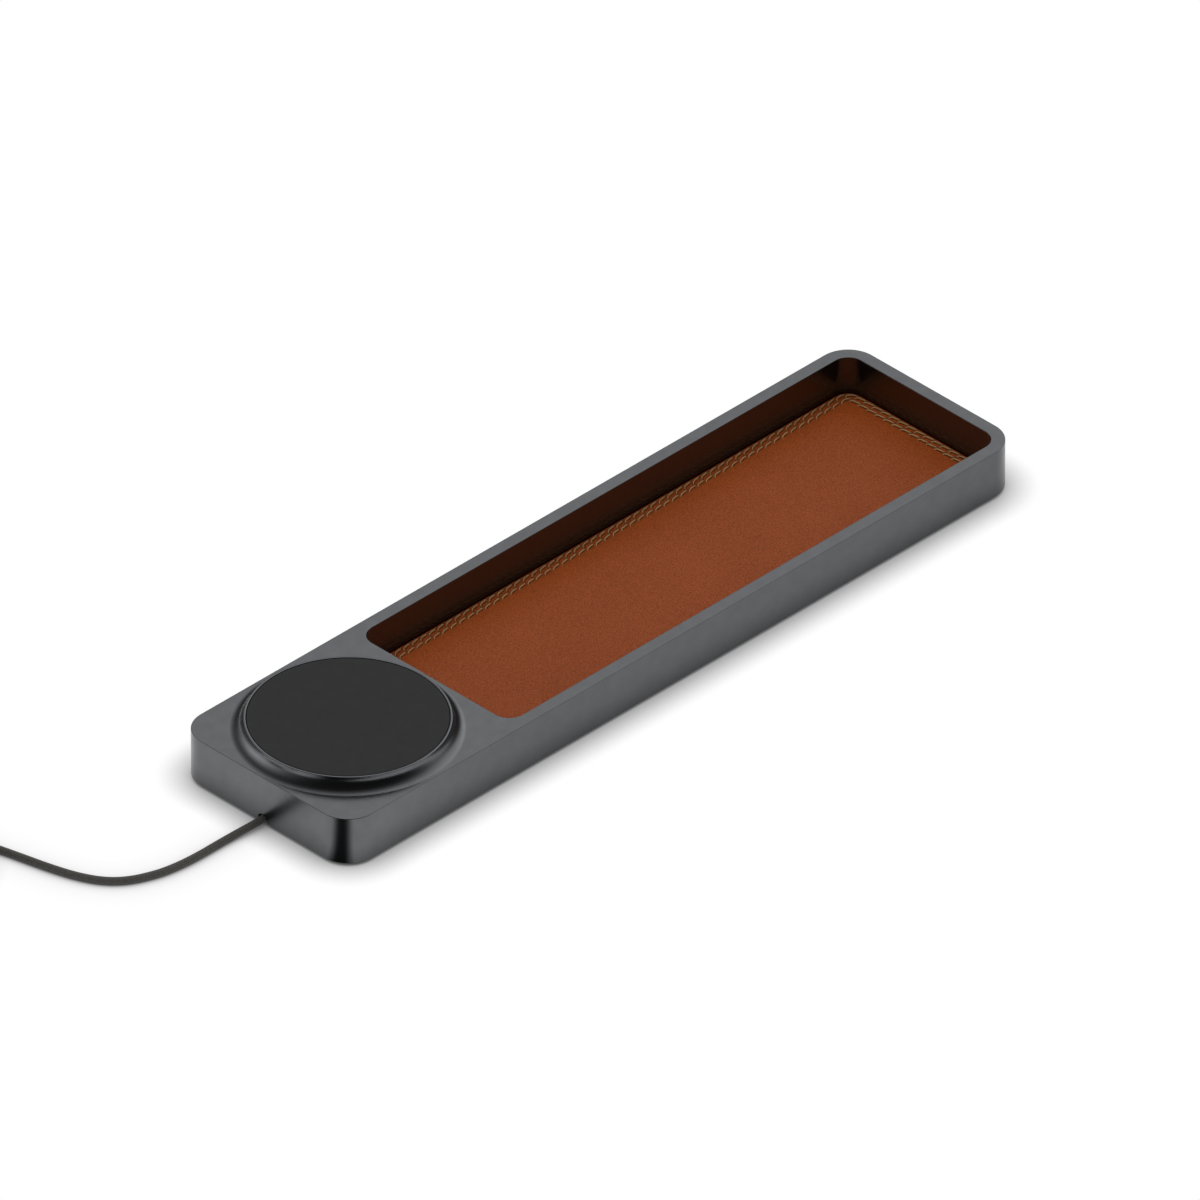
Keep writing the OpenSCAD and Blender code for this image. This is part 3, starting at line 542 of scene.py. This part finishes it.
def rowCurve(inset, count):
    # points and headings of a stitch row, clockwise from above, one sample a twentieth of a stitch
    r = leather["radius"] - inset
    pts, nrm = roundRect(leather["x0"] + inset, leather["x1"] - inset, leather["width"] - 2 * inset, r, 48, along=0.5)
    pts, nrm = pts[::-1], nrm[::-1]
    closed = np.concatenate([pts, pts[:1]])
    length = np.concatenate([[0], np.cumsum(np.linalg.norm(np.diff(closed, axis=0), axis=1))])
    offBack = np.abs(pts[:, 1] - leather["width"] / 2 + inset)
    onBack = int(np.argmin(np.abs(pts[:, 0] - stitching["phase"]) + offBack * 10))
    start = length[onBack]
    at = (start + np.arange(count * 20) * length[-1] / (count * 20)) % length[-1]
    turn = np.concatenate([nrm, nrm[:1]])
    out = unit(np.stack([np.interp(at, length, turn[:, 0]), np.interp(at, length, turn[:, 1])], -1))
    where = np.stack([np.interp(at, length, closed[:, 0]), np.interp(at, length, closed[:, 1])], -1)
    return where, out, length[-1] / count


def stitchRow(inset, count):
    # centre line of every stitch: its slant across the row, and its ends dipping into the leather
    where, out, pitch = rowCurve(inset, count)
    shape = np.array(stitching["shape"])
    t = np.linspace(-1.65, 1.65, stitching["rings"])
    across = np.interp(t, shape[:, 0], shape[:, 1])
    rise = stitching["rise"] - 0.55 * np.abs(t / 1.65) ** 5
    index = (np.arange(count)[:, None] * 20 + np.round(t / pitch * 20).astype(int)[None, :]) % (count * 20)
    flat = where[index] + out[index] * across[None, :, None]
    return np.concatenate([flat, np.broadcast_to(leather["high"] + rise[None, :, None], flat.shape[:2] + (1,))], -1)


stitchLines = np.concatenate([stitchRow(inset, count) for inset, count in stitching["rows"]])
way = unit(np.gradient(stitchLines, axis=1))
sideways = unit(np.cross(way, [0.0, 0.0, 1.0]))
upwards = np.cross(sideways, way)
a = np.linspace(0, 2 * np.pi, stitching["sides"], endpoint=False)
girth = stitching["thread"] * (1 - 0.25 * np.abs(np.linspace(-1, 1, stitching["rings"])) ** 4)
rings = stitchLines[:, :, None, :] + girth[None, :, None, None] * (
    np.cos(a)[None, None, :, None] * sideways[:, :, None, :]
    + np.sin(a)[None, None, :, None] * upwards[:, :, None, :])
ringCount, sideCount = stitching["rings"], stitching["sides"]
each = gridFaces(ringCount, sideCount, closeColumns=True)
each += [list(range(sideCount))[::-1], [(ringCount - 1) * sideCount + k for k in range(sideCount)]]
stitchFaces = [[k + s * ringCount * sideCount for k in f] for s in range(len(stitchLines)) for f in each]
stitchUv = np.stack(np.broadcast_arrays(
    np.arange(sideCount)[None, None, :] / sideCount,
    (np.arange(len(stitchLines))[:, None, None] * 7.3 + np.linspace(0, 3.3, ringCount)[None, :, None])), -1)
stitches = addPiece("stitches", rings.reshape(-1, 3), stitchFaces, uv=stitchUv.reshape(-1, 2))
print("stitches made:", len(stitchLines))

# the leather panel: a rolled edge, a rim dented along the stitches, and a flat middle
rim = {"along": 0.3, "to": 4.4, "step": 0.16, "threadDent": 0.24, "holeDent": 0.45, "swell": 0.05}
rimOutline = roundRect(leather["x0"], leather["x1"], leather["width"], leather["radius"], 26, along=rim["along"])
inward = np.arange(leather["roll"] + rim["step"], rim["to"] + 1e-6, rim["step"])
roll = leather["roll"]
rimProfile = np.concatenate([[[0, leather["low"]]], bend(-roll, leather["high"] - roll, roll, 0, 90, 7),
                             np.stack([-inward, np.full(len(inward), leather["high"])], -1)])
rimVerts, rimFaces = sweep(rimOutline, rimProfile)
rimGrid = rimVerts.reshape(len(rimOutline[0]), len(rimProfile), 3)
threadPoints = stitchLines[:, :, :2].reshape(-1, 2)
holePoints = stitchLines[:, [0, -1], :2].reshape(-1, 2)


def nearest(points, targets, chunk=2000):
    # distance in plan from each point to the closest target
    out = np.zeros(len(points))
    for k in range(0, len(points), chunk):
        d = points[k:k + chunk, None, :] - targets[None, :, :]
        out[k:k + chunk] = np.sqrt((d ** 2).sum(-1).min(1))
    return out


first = 8
target = rimGrid[:, first:, :2].reshape(-1, 2)
toThread = nearest(target, threadPoints).reshape(len(rimGrid), -1)
toHole = nearest(target, holePoints).reshape(len(rimGrid), -1)
swell = (rim["swell"] * np.exp(-((inward - 2.3) / 0.5) ** 2) * (inward > 0)
         - 0.03 * np.exp(-((inward - 3.4) / 0.9) ** 2))
fade = smoothStep((rim["to"] - 0.2 - inward) / 0.6)
dent = -rim["threadDent"] * np.exp(-(toThread / 0.42) ** 2) - rim["holeDent"] * np.exp(-(toHole / 0.28) ** 2)
rimGrid[:, first:, 2] += (dent + swell[None, :]) * fade[None, :]
middle = flatFill([ringAt(rimOutline, -inward[-1])], leather["high"], lambda p: p[:, 0] > -1e9)
under = flatFill([ringAt(rimOutline, 0)], leather["low"], lambda p: p[:, 0] > -1e9, up=False)
leatherPanel = makeMesh("leatherPanel", *together([(rimGrid.reshape(-1, 3), rimFaces), middle, under]))
roundedShading(leatherPanel, 50)
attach(leatherPanel, "root")
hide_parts("leather_panel")
print("leather made:", len(leatherPanel.data.polygons), "faces")

# shader node groups: each gives heights and tones that change over the surface
def startGroup(name, outputs):
    group = bpy.data.node_groups.new(name, "ShaderNodeTree")
    group.interface.new_socket(name="Vector", in_out="INPUT", socket_type="NodeSocketVector")
    group.interface.new_socket(name="Scale", in_out="INPUT", socket_type="NodeSocketFloat")
    for label in outputs:
        group.interface.new_socket(name=label, in_out="OUTPUT", socket_type="NodeSocketFloat")
    return group, group.nodes.new("NodeGroupInput").outputs, group.nodes.new("NodeGroupOutput").inputs


def feed(tree, value, socket):
    if hasattr(value, "is_output"):
        tree.links.new(value, socket)
    else:
        socket.default_value = value


def calc(tree, operation, *values):
    node = tree.nodes.new("ShaderNodeMath")
    node.operation = operation
    for k, value in enumerate(values):
        feed(tree, value, node.inputs[k])
    return node.outputs[0]


def noise(tree, vector, scale, detail=2.0, distortion=0.0):
    node = tree.nodes.new("ShaderNodeTexNoise")
    feed(tree, vector, node.inputs["Vector"])
    feed(tree, scale, node.inputs["Scale"])
    node.inputs["Detail"].default_value = detail
    node.inputs["Distortion"].default_value = distortion
    return node.outputs["Fac"]


def cells(tree, vector, scale):
    node = tree.nodes.new("ShaderNodeTexVoronoi")
    node.feature = "SMOOTH_F1"
    feed(tree, vector, node.inputs["Vector"])
    feed(tree, scale, node.inputs["Scale"])
    return node.outputs["Distance"]


def between(tree, value, low, high, toLow=0.0, toHigh=1.0):
    node = tree.nodes.new("ShaderNodeMapRange")
    for k, part in enumerate((value, low, high, toLow, toHigh)):
        feed(tree, part, node.inputs[k])
    return node.outputs[0]


# fine grain: even noise at the given scale, with slow clouds of tone
fineGrain, given, out = startGroup("fineGrain", ("Height", "Tone"))
fineGrain.links.new(noise(fineGrain, given[0], given[1], 3.0), out["Height"])
slow = noise(fineGrain, given[0], calc(fineGrain, "MULTIPLY", given[1], 0.05), 3.0)
fast = noise(fineGrain, given[0], given[1], 1.0)
blend = calc(fineGrain, "ADD", calc(fineGrain, "MULTIPLY", slow, 0.7), calc(fineGrain, "MULTIPLY", fast, 0.3))
fineGrain.links.new(between(fineGrain, blend, 0.35, 0.65), out["Tone"])

# leather: domed pebbles between creases, broken up by noise, over slow patches of dye
leatherGrain, given, out = startGroup("leatherGrain", ("Height", "Tone"))
pebbles = cells(leatherGrain, given[0], given[1])
pores = noise(leatherGrain, given[0], calc(leatherGrain, "MULTIPLY", given[1], 2.2), 4.0, 0.6)
domes = calc(leatherGrain, "SUBTRACT", 1.0, pebbles)
leatherGrain.links.new(calc(leatherGrain, "ADD", calc(leatherGrain, "MULTIPLY", domes, 0.6),
                            calc(leatherGrain, "MULTIPLY", pores, 0.5)), out["Height"])
dye = noise(leatherGrain, given[0], calc(leatherGrain, "MULTIPLY", given[1], 0.03), 3.0)
mixed = calc(leatherGrain, "ADD", calc(leatherGrain, "MULTIPLY", dye, 0.08),
             calc(leatherGrain, "MULTIPLY", pores, 0.92))
leatherGrain.links.new(between(leatherGrain, mixed, 0.40, 0.60), out["Tone"])

# braid: two families of strands that cross at an angle and take turns on top;
# the scale is how many strands of each family go round; the tone is painted shade where strands dip under each other,
# taken from their height, mixed with random strand noise
braidWeave, given, out = startGroup("braidWeave", ("Height", "Tone"))
apart = braidWeave.nodes.new("ShaderNodeSeparateXYZ")
braidWeave.links.new(given[0], apart.inputs[0])
leftWay = calc(braidWeave, "MULTIPLY", calc(braidWeave, "ADD", apart.outputs[0], apart.outputs[1]), given[1])
rightWay = calc(braidWeave, "MULTIPLY", calc(braidWeave, "SUBTRACT", apart.outputs[0], apart.outputs[1]), given[1])
domeLeft = calc(braidWeave, "SINE", calc(braidWeave, "MULTIPLY", calc(braidWeave, "FRACT", leftWay), math.pi))
domeRight = calc(braidWeave, "SINE", calc(braidWeave, "MULTIPLY", calc(braidWeave, "FRACT", rightWay), math.pi))
cellSum = calc(braidWeave, "ADD", calc(braidWeave, "FLOOR", leftWay), calc(braidWeave, "FLOOR", rightWay))
parity = calc(braidWeave, "FLOORED_MODULO", cellSum, 2.0)
height = calc(braidWeave, "ADD", calc(braidWeave, "MULTIPLY", parity, domeLeft),
              calc(braidWeave, "MULTIPLY", calc(braidWeave, "SUBTRACT", 1.0, parity), domeRight))
braidWeave.links.new(height, out["Height"])
strand = noise(braidWeave, given[0], 6.0, 2.0)
# tone: painted shade from the strands' height, plus random strand noise
braidWeave.links.new(calc(braidWeave, "ADD", calc(braidWeave, "MULTIPLY", height, 0.6),
                          calc(braidWeave, "MULTIPLY", strand, 0.5)), out["Tone"])

# twist: plies that run round a thread; the scale is plies for each length of v. The tone follows the plies: painted
# shade in the grooves between plies and a painted highlight on their crests, mixed with random fuzz
threadTwist, given, out = startGroup("threadTwist", ("Height", "Tone"))
apart = threadTwist.nodes.new("ShaderNodeSeparateXYZ")
threadTwist.links.new(given[0], apart.inputs[0])
lay = calc(threadTwist, "ADD", apart.outputs[0], calc(threadTwist, "MULTIPLY", apart.outputs[1], given[1]))
ply = calc(threadTwist, "ABSOLUTE", calc(threadTwist, "SINE", calc(threadTwist, "MULTIPLY", lay, math.pi * 2)))
threadTwist.links.new(ply, out["Height"])
fuzz = noise(threadTwist, given[0], 3.0, 3.0)
# tone: painted shade between the plies and painted highlight on them, with random fuzz
threadTwist.links.new(calc(threadTwist, "ADD", calc(threadTwist, "MULTIPLY", ply, 0.6),
                           calc(threadTwist, "MULTIPLY", fuzz, 0.4)), out["Tone"])

# turns: round ridges about the pedestal's axis, the scale is ridges in a metre; the tone is the ridge itself, painted
# shade in the grooves between ridges and a painted highlight on their tops
windingTurns, given, out = startGroup("windingTurns", ("Height", "Tone"))
shift = windingTurns.nodes.new("ShaderNodeVectorMath")
shift.operation = "MULTIPLY_ADD"
shift.inputs[1].default_value = (1, 1, 0)
shift.inputs[2].default_value = (-body["puckX"] * mm, 0, 0)
windingTurns.links.new(given[0], shift.inputs[0])
reach = windingTurns.nodes.new("ShaderNodeVectorMath")
reach.operation = "LENGTH"
windingTurns.links.new(shift.outputs[0], reach.inputs[0])
phase = calc(windingTurns, "FRACT", calc(windingTurns, "MULTIPLY", reach.outputs["Value"], given[1]))
ridge = calc(windingTurns, "SINE", calc(windingTurns, "MULTIPLY", phase, math.pi))
windingTurns.links.new(ridge, out["Height"])
# painted shade and highlight: the tone is the ridge height
windingTurns.links.new(ridge, out["Tone"])


def surface(name, dark, light, roughness, effect=fineGrain, scale=900.0, depth=0.02, strength=0.3,
            spread=0.05, metallic=0.0, coordinate="Object", sockets=None):
    # a finish: colour between two tones, roughness that varies with it, and relief of a depth in mm
    material = bpy.data.materials.new(name)
    material.use_nodes = True
    tree = material.node_tree
    shader = tree.nodes["Principled BSDF"]
    where = tree.nodes.new("ShaderNodeTexCoord")
    group = tree.nodes.new("ShaderNodeGroup")
    group.node_tree = effect
    tree.links.new(where.outputs[coordinate], group.inputs["Vector"])
    group.inputs["Scale"].default_value = scale
    colour = tree.nodes.new("ShaderNodeMix")
    colour.data_type = "RGBA"
    tree.links.new(group.outputs["Tone"], colour.inputs[0])
    colour.inputs[6].default_value = (*dark, 1)
    colour.inputs[7].default_value = (*light, 1)
    tree.links.new(colour.outputs[2], shader.inputs["Base Color"])
    tree.links.new(between(tree, group.outputs["Tone"], 0.0, 1.0, roughness + spread, roughness - spread),
                   shader.inputs["Roughness"])
    relief = tree.nodes.new("ShaderNodeBump")
    relief.inputs["Strength"].default_value = strength
    relief.inputs["Distance"].default_value = depth * mm
    tree.links.new(group.outputs["Height"], relief.inputs["Height"])
    tree.links.new(relief.outputs["Normal"], shader.inputs["Normal"])
    shader.inputs["Metallic"].default_value = metallic
    for socket, value in (sockets or {}).items():
        shader.inputs[socket].default_value = value
    return material


def dress(material, *pieces):
    for piece in pieces:
        if not piece.material_slots:
            piece.data.materials.append(material)
        for slot in piece.material_slots:
            slot.material = material


dress(surface("anodised", (0.120, 0.124, 0.131), (0.131, 0.135, 0.142), 0.25, scale=5000, depth=0.004,
              strength=0.15, spread=0.015, metallic=1.0), trayBody)
dress(surface("tannedLeather", (0.175, 0.034, 0.0035), (0.330, 0.066, 0.0095), 0.58, leatherGrain, 1500, 0.07,
              0.5, 0.08, sockets={"Specular IOR Level": 0.25}), leatherPanel)
# the thread's dark tone is painted shade and its light tone a painted highlight, spread over the plies
dress(surface("stitchThread", (0.17, 0.092, 0.036), (0.50, 0.32, 0.15), 0.7, threadTwist, 1.1, 0.04, 0.5, 0.1,
              coordinate="UV", sockets={"Specular IOR Level": 0.3}), stitches)
dress(surface("softTouch", (0.0245, 0.0245, 0.025), (0.0265, 0.0265, 0.027), 0.62, scale=5200, depth=0.006,
              strength=0.2, spread=0.01, sockets={"Specular IOR Level": 0.2}), puckFace)
# sleeve and strap tones carry painted shade between the braid's strands
dress(surface("braidedSleeve", (0.012, 0.012, 0.011), (0.095, 0.091, 0.080), 0.7, braidWeave, 8.0, 0.09, 0.7,
              0.1, coordinate="UV", sockets={"Sheen Weight": 0.15}), freeCord, innerCord)
dress(surface("tieWebbing", (0.012, 0.012, 0.013), (0.040, 0.040, 0.042), 0.85, braidWeave, 9.0, 0.08, 0.6,
              coordinate="UV"), cordTie)
dress(surface("plugPlastic", (0.022, 0.022, 0.023), (0.030, 0.030, 0.031), 0.42, scale=3500, depth=0.01), plugGrip)
dress(surface("plugRubber", (0.018, 0.018, 0.018), (0.026, 0.026, 0.026), 0.65, scale=2600, depth=0.012), plugRelief)
dress(surface("plugSteel", (0.50, 0.50, 0.51), (0.60, 0.60, 0.61), 0.22, scale=2500, depth=0.003, metallic=1.0),
      plugShell)
cadFinishes = (
    (("base_cover", "cord_clamp"), surface("coverPlastic", (0.016, 0.016, 0.017), (0.024, 0.024, 0.025), 0.5,
                                           scale=2400, depth=0.03)),
    (("cover_screws", "board_screws", "clamp_screws"), surface("screwSteel", (0.22, 0.22, 0.23), (0.32, 0.32, 0.33),
                                                               0.32, scale=2600, depth=0.008, metallic=1.0)),
    (("rubber_feet",),
     surface("footRubber", (0.020, 0.020, 0.020), (0.034, 0.034, 0.033), 0.8, scale=1800, depth=0.03)),
    (("liner_board",), surface("pressedBoard", (0.16, 0.11, 0.07), (0.26, 0.19, 0.12), 0.85, scale=1500, depth=0.04)),
    (("puck_tape",),
     surface("adhesiveFoam", (0.012, 0.012, 0.012), (0.030, 0.030, 0.030), 0.9, leatherGrain, 2200, 0.06)),
    # spun shell: tone from the ridges, painted shade in their grooves
    (("puck_shell",), surface("spunShell", (0.30, 0.30, 0.31), (0.38, 0.38, 0.39), 0.3, windingTurns, 2500, 0.004,
                              0.3, 0.03, 1.0)),
    (("back_iron",), surface("platedIron", (0.42, 0.42, 0.41), (0.52, 0.52, 0.50), 0.28, scale=1700, depth=0.006,
                             metallic=1.0)),
    (("magnet_ring",), surface("nickelMagnet", (0.50, 0.49, 0.46), (0.60, 0.58, 0.55), 0.18, scale=1200, depth=0.004,
                               metallic=1.0)),
    (("coil_frame",), surface("whiteMoulding", (0.66, 0.66, 0.64), (0.74, 0.74, 0.72), 0.4, scale=1600, depth=0.02)),
    (("ferrite_disc",), surface("sinteredFerrite", (0.025, 0.025, 0.026), (0.050, 0.050, 0.052), 0.6, scale=3000,
                                depth=0.02)),
    # copper turns: the dark tone is painted shade between the turns
    (("charging_coil",), surface("copperTurns", (0.42, 0.13, 0.05), (0.83, 0.36, 0.19), 0.3, windingTurns, 900, 0.3,
                                 0.7, 0.06, 1.0)),
    (("coil_leads",), surface("leadWire", (0.36, 0.025, 0.018), (0.50, 0.040, 0.028), 0.45, scale=1500, depth=0.01)),
    (("circuit_board",), surface("solderMask", (0.008, 0.075, 0.030), (0.016, 0.125, 0.050), 0.32, scale=1100,
                                 depth=0.03)),
    (("board_parts", "plug_liner"), surface("mouldedBlack", (0.012, 0.012, 0.013), (0.022, 0.022, 0.023), 0.45,
                                            scale=3200, depth=0.01)),
    (("cord_socket",), surface("ivoryNylon", (0.60, 0.55, 0.42), (0.70, 0.65, 0.52), 0.42, scale=1500, depth=0.015)),
)
for names, finish in cadFinishes:
    dress(finish, *[nodes[name] for name in names])
print("finishes made")

# studio: soft light all round, and a lit card arrangement that only reflections see, because
# the metal shows a bright panel behind, a card at the left and darkness on the camera's side
studio = {"fill": 0.6, "lamp": 2.4, "lampSize": 0.5, "lampPlace": (0.1, 0.18, 0.85), "floor": 3.0,
          "panelFrom": 0.24, "panelTo": 0.42, "ambient": 0.02, "underside": 0.4,
          "panels": ((28, 36, 9, 1.1), (31, 31, 60, 0.5), (-15, 38, 14, 0.7), (30, 62, 12, 0.35)),
          "cards": ((120, 4, 9, 1.25), (145, 5, 10, 0.35), (114, 20, 12, 0.4), (-35, 2, 14, 0.9)),
          "contactReach": 0.010, "contactPower": 1.4, "shadeWay": 208.0,
          "shadeFrom": 0.86, "shadeTo": 0.98, "frontReflectionShade": 0.86, "endReflectionLight": 1.07}
world = bpy.data.worlds.new("studio")
bpy.context.scene.world = world
world.use_nodes = True
tree = world.node_tree
tree.nodes.clear()
direction = tree.nodes.new("ShaderNodeTexCoord").outputs["Generated"]


def lobe(az, el, tightness, strength):
    # strength times e to the power of tightness times (cosine of the angle from the middle, less one)
    az, el = math.radians(az), math.radians(el)
    toward = tree.nodes.new("ShaderNodeVectorMath")
    toward.operation = "DOT_PRODUCT"
    tree.links.new(direction, toward.inputs[0])
    toward.inputs[1].default_value = (math.cos(az) * math.cos(el), math.sin(az) * math.cos(el), math.sin(el))
    power = calc(tree, "MULTIPLY", calc(tree, "SUBTRACT", toward.outputs["Value"], 1.0), float(tightness))
    return calc(tree, "MULTIPLY", calc(tree, "EXPONENT", power), float(strength))


def total(parts):
    result = parts[0]
    for part in parts[1:]:
        result = calc(tree, "ADD", result, part)
    return result


split = tree.nodes.new("ShaderNodeSeparateXYZ")
tree.links.new(direction, split.inputs[0])
aboveEdge = between(tree, split.outputs[2], studio["panelFrom"], studio["panelTo"])
seenPanels = calc(tree, "MULTIPLY", total([lobe(*row) for row in studio["panels"]]), aboveEdge)
reflected = calc(tree, "ADD", calc(tree, "ADD", seenPanels, total([lobe(*row) for row in studio["cards"]])),
                 studio["ambient"])
fromUnder = between(tree, split.outputs[2], -0.02, -0.12, 0.0, studio["underside"])  # the floor hides it from above
reflected = calc(tree, "ADD", reflected, fromUnder)
rays = tree.nodes.new("ShaderNodeLightPath").outputs
unseen = calc(tree, "ADD", calc(tree, "MULTIPLY", rays["Is Glossy Ray"], reflected),
              calc(tree, "MULTIPLY", calc(tree, "SUBTRACT", 1.0, rays["Is Glossy Ray"]), studio["fill"]))
level = calc(tree, "ADD", rays["Is Camera Ray"],
             calc(tree, "MULTIPLY", calc(tree, "SUBTRACT", 1.0, rays["Is Camera Ray"]), unseen))
sky = tree.nodes.new("ShaderNodeBackground")
sky.inputs["Color"].default_value = (1, 1, 1, 1)
tree.links.new(level, sky.inputs["Strength"])
tree.links.new(sky.outputs[0], tree.nodes.new("ShaderNodeOutputWorld").inputs["Surface"])

lampData = bpy.data.lights.new("softbox", "AREA")
lampData.energy, lampData.size = studio["lamp"], studio["lampSize"]
lamp = bpy.data.objects.new("softbox", lampData)
bpy.context.scene.collection.objects.link(lamp)
lamp.location = studio["lampPlace"]
lamp.rotation_euler = Vector(studio["lampPlace"]).to_track_quat("Z", "Y").to_euler()
lamp.visible_glossy = False

# floor: white, with a painted contact shadow near the object, where ambient occlusion dims its glow; for reflections
# only, a painted dark patch beside the near corner and painted reflection shade, darker on the front side and lighter
# on the end side
halfFloor = studio["floor"] / mm / 2
floorMesh = bpy.data.meshes.new("studioFloor")
floorMesh.from_pydata([(x * halfFloor * mm, y * halfFloor * mm, 0) for x, y in ((-1, -1), (1, -1), (1, 1), (-1, 1))],
                      [], [(0, 1, 2, 3)])
studioFloor = bpy.data.objects.new("studioFloor", floorMesh)
bpy.context.scene.collection.objects.link(studioFloor)
floorMaterial = bpy.data.materials.new("studioFloor")
floorMaterial.use_nodes = True
tree = floorMaterial.node_tree
tree.nodes.clear()
# painted contact shadow: the floor glows, and ambient occlusion darkens that glow near the object
contact = tree.nodes.new("ShaderNodeAmbientOcclusion")
contact.samples = 16
contact.inputs["Distance"].default_value = studio["contactReach"]
shade = calc(tree, "POWER", contact.outputs["AO"], studio["contactPower"])
place = tree.nodes.new("ShaderNodeTexCoord").outputs["Object"]
fromCorner = tree.nodes.new("ShaderNodeVectorMath")
fromCorner.operation = "SUBTRACT"
tree.links.new(place, fromCorner.inputs[0])
fromCorner.inputs[1].default_value = ((body["corner"] - halfL) * mm, (body["corner"] - body["width"] / 2) * mm, 0)
bearing = tree.nodes.new("ShaderNodeVectorMath")
bearing.operation = "NORMALIZE"
tree.links.new(fromCorner.outputs[0], bearing.inputs[0])
towardDark = tree.nodes.new("ShaderNodeVectorMath")
towardDark.operation = "DOT_PRODUCT"
tree.links.new(bearing.outputs[0], towardDark.inputs[0])
towardDark.inputs[1].default_value = (math.cos(math.radians(studio["shadeWay"])),
                                      math.sin(math.radians(studio["shadeWay"])), 0)
# painted reflection: only glossy rays see the floor nearly black in a wedge beside the near corner, dimmed on the
# front side and brightened on the end side
bright = calc(tree, "MULTIPLY",
              between(tree, towardDark.outputs["Value"], studio["shadeFrom"], studio["shadeTo"], 1.0, 0.03),
              between(tree, towardDark.outputs["Value"], -0.85, -0.1, studio["frontReflectionShade"], studio["endReflectionLight"]))
rays = tree.nodes.new("ShaderNodeLightPath").outputs
glossyOnly = calc(tree, "ADD", calc(tree, "MULTIPLY", rays["Is Glossy Ray"], bright),
                  calc(tree, "SUBTRACT", 1.0, rays["Is Glossy Ray"]))
paintedShadeGlow = tree.nodes.new("ShaderNodeEmission")
tree.links.new(calc(tree, "MULTIPLY", shade, glossyOnly), paintedShadeGlow.inputs["Strength"])
plain = tree.nodes.new("ShaderNodeBsdfDiffuse")
plain.inputs["Color"].default_value = (0.8, 0.8, 0.8, 1)
choice = tree.nodes.new("ShaderNodeMixShader")
seen = calc(tree, "MAXIMUM", rays["Is Camera Ray"],
            calc(tree, "MAXIMUM", rays["Is Glossy Ray"], rays["Is Transmission Ray"]))
tree.links.new(seen, choice.inputs[0])
tree.links.new(plain.outputs[0], choice.inputs[1])
tree.links.new(paintedShadeGlow.outputs[0], choice.inputs[2])
fromBelow = tree.nodes.new("ShaderNodeMixShader")  # clear from below, so that the underside shows
passedFloor = calc(tree, "GREATER_THAN", rays["Transparent Depth"], 0.5)
tree.links.new(calc(tree, "MAXIMUM", tree.nodes.new("ShaderNodeNewGeometry").outputs["Backfacing"], passedFloor),
               fromBelow.inputs[0])
tree.links.new(choice.outputs[0], fromBelow.inputs[1])
tree.links.new(tree.nodes.new("ShaderNodeBsdfTransparent").outputs[0], fromBelow.inputs[2])
tree.links.new(fromBelow.outputs[0], tree.nodes.new("ShaderNodeOutputMaterial").inputs["Surface"])
floorMesh.materials.append(floorMaterial)
print("studio made")
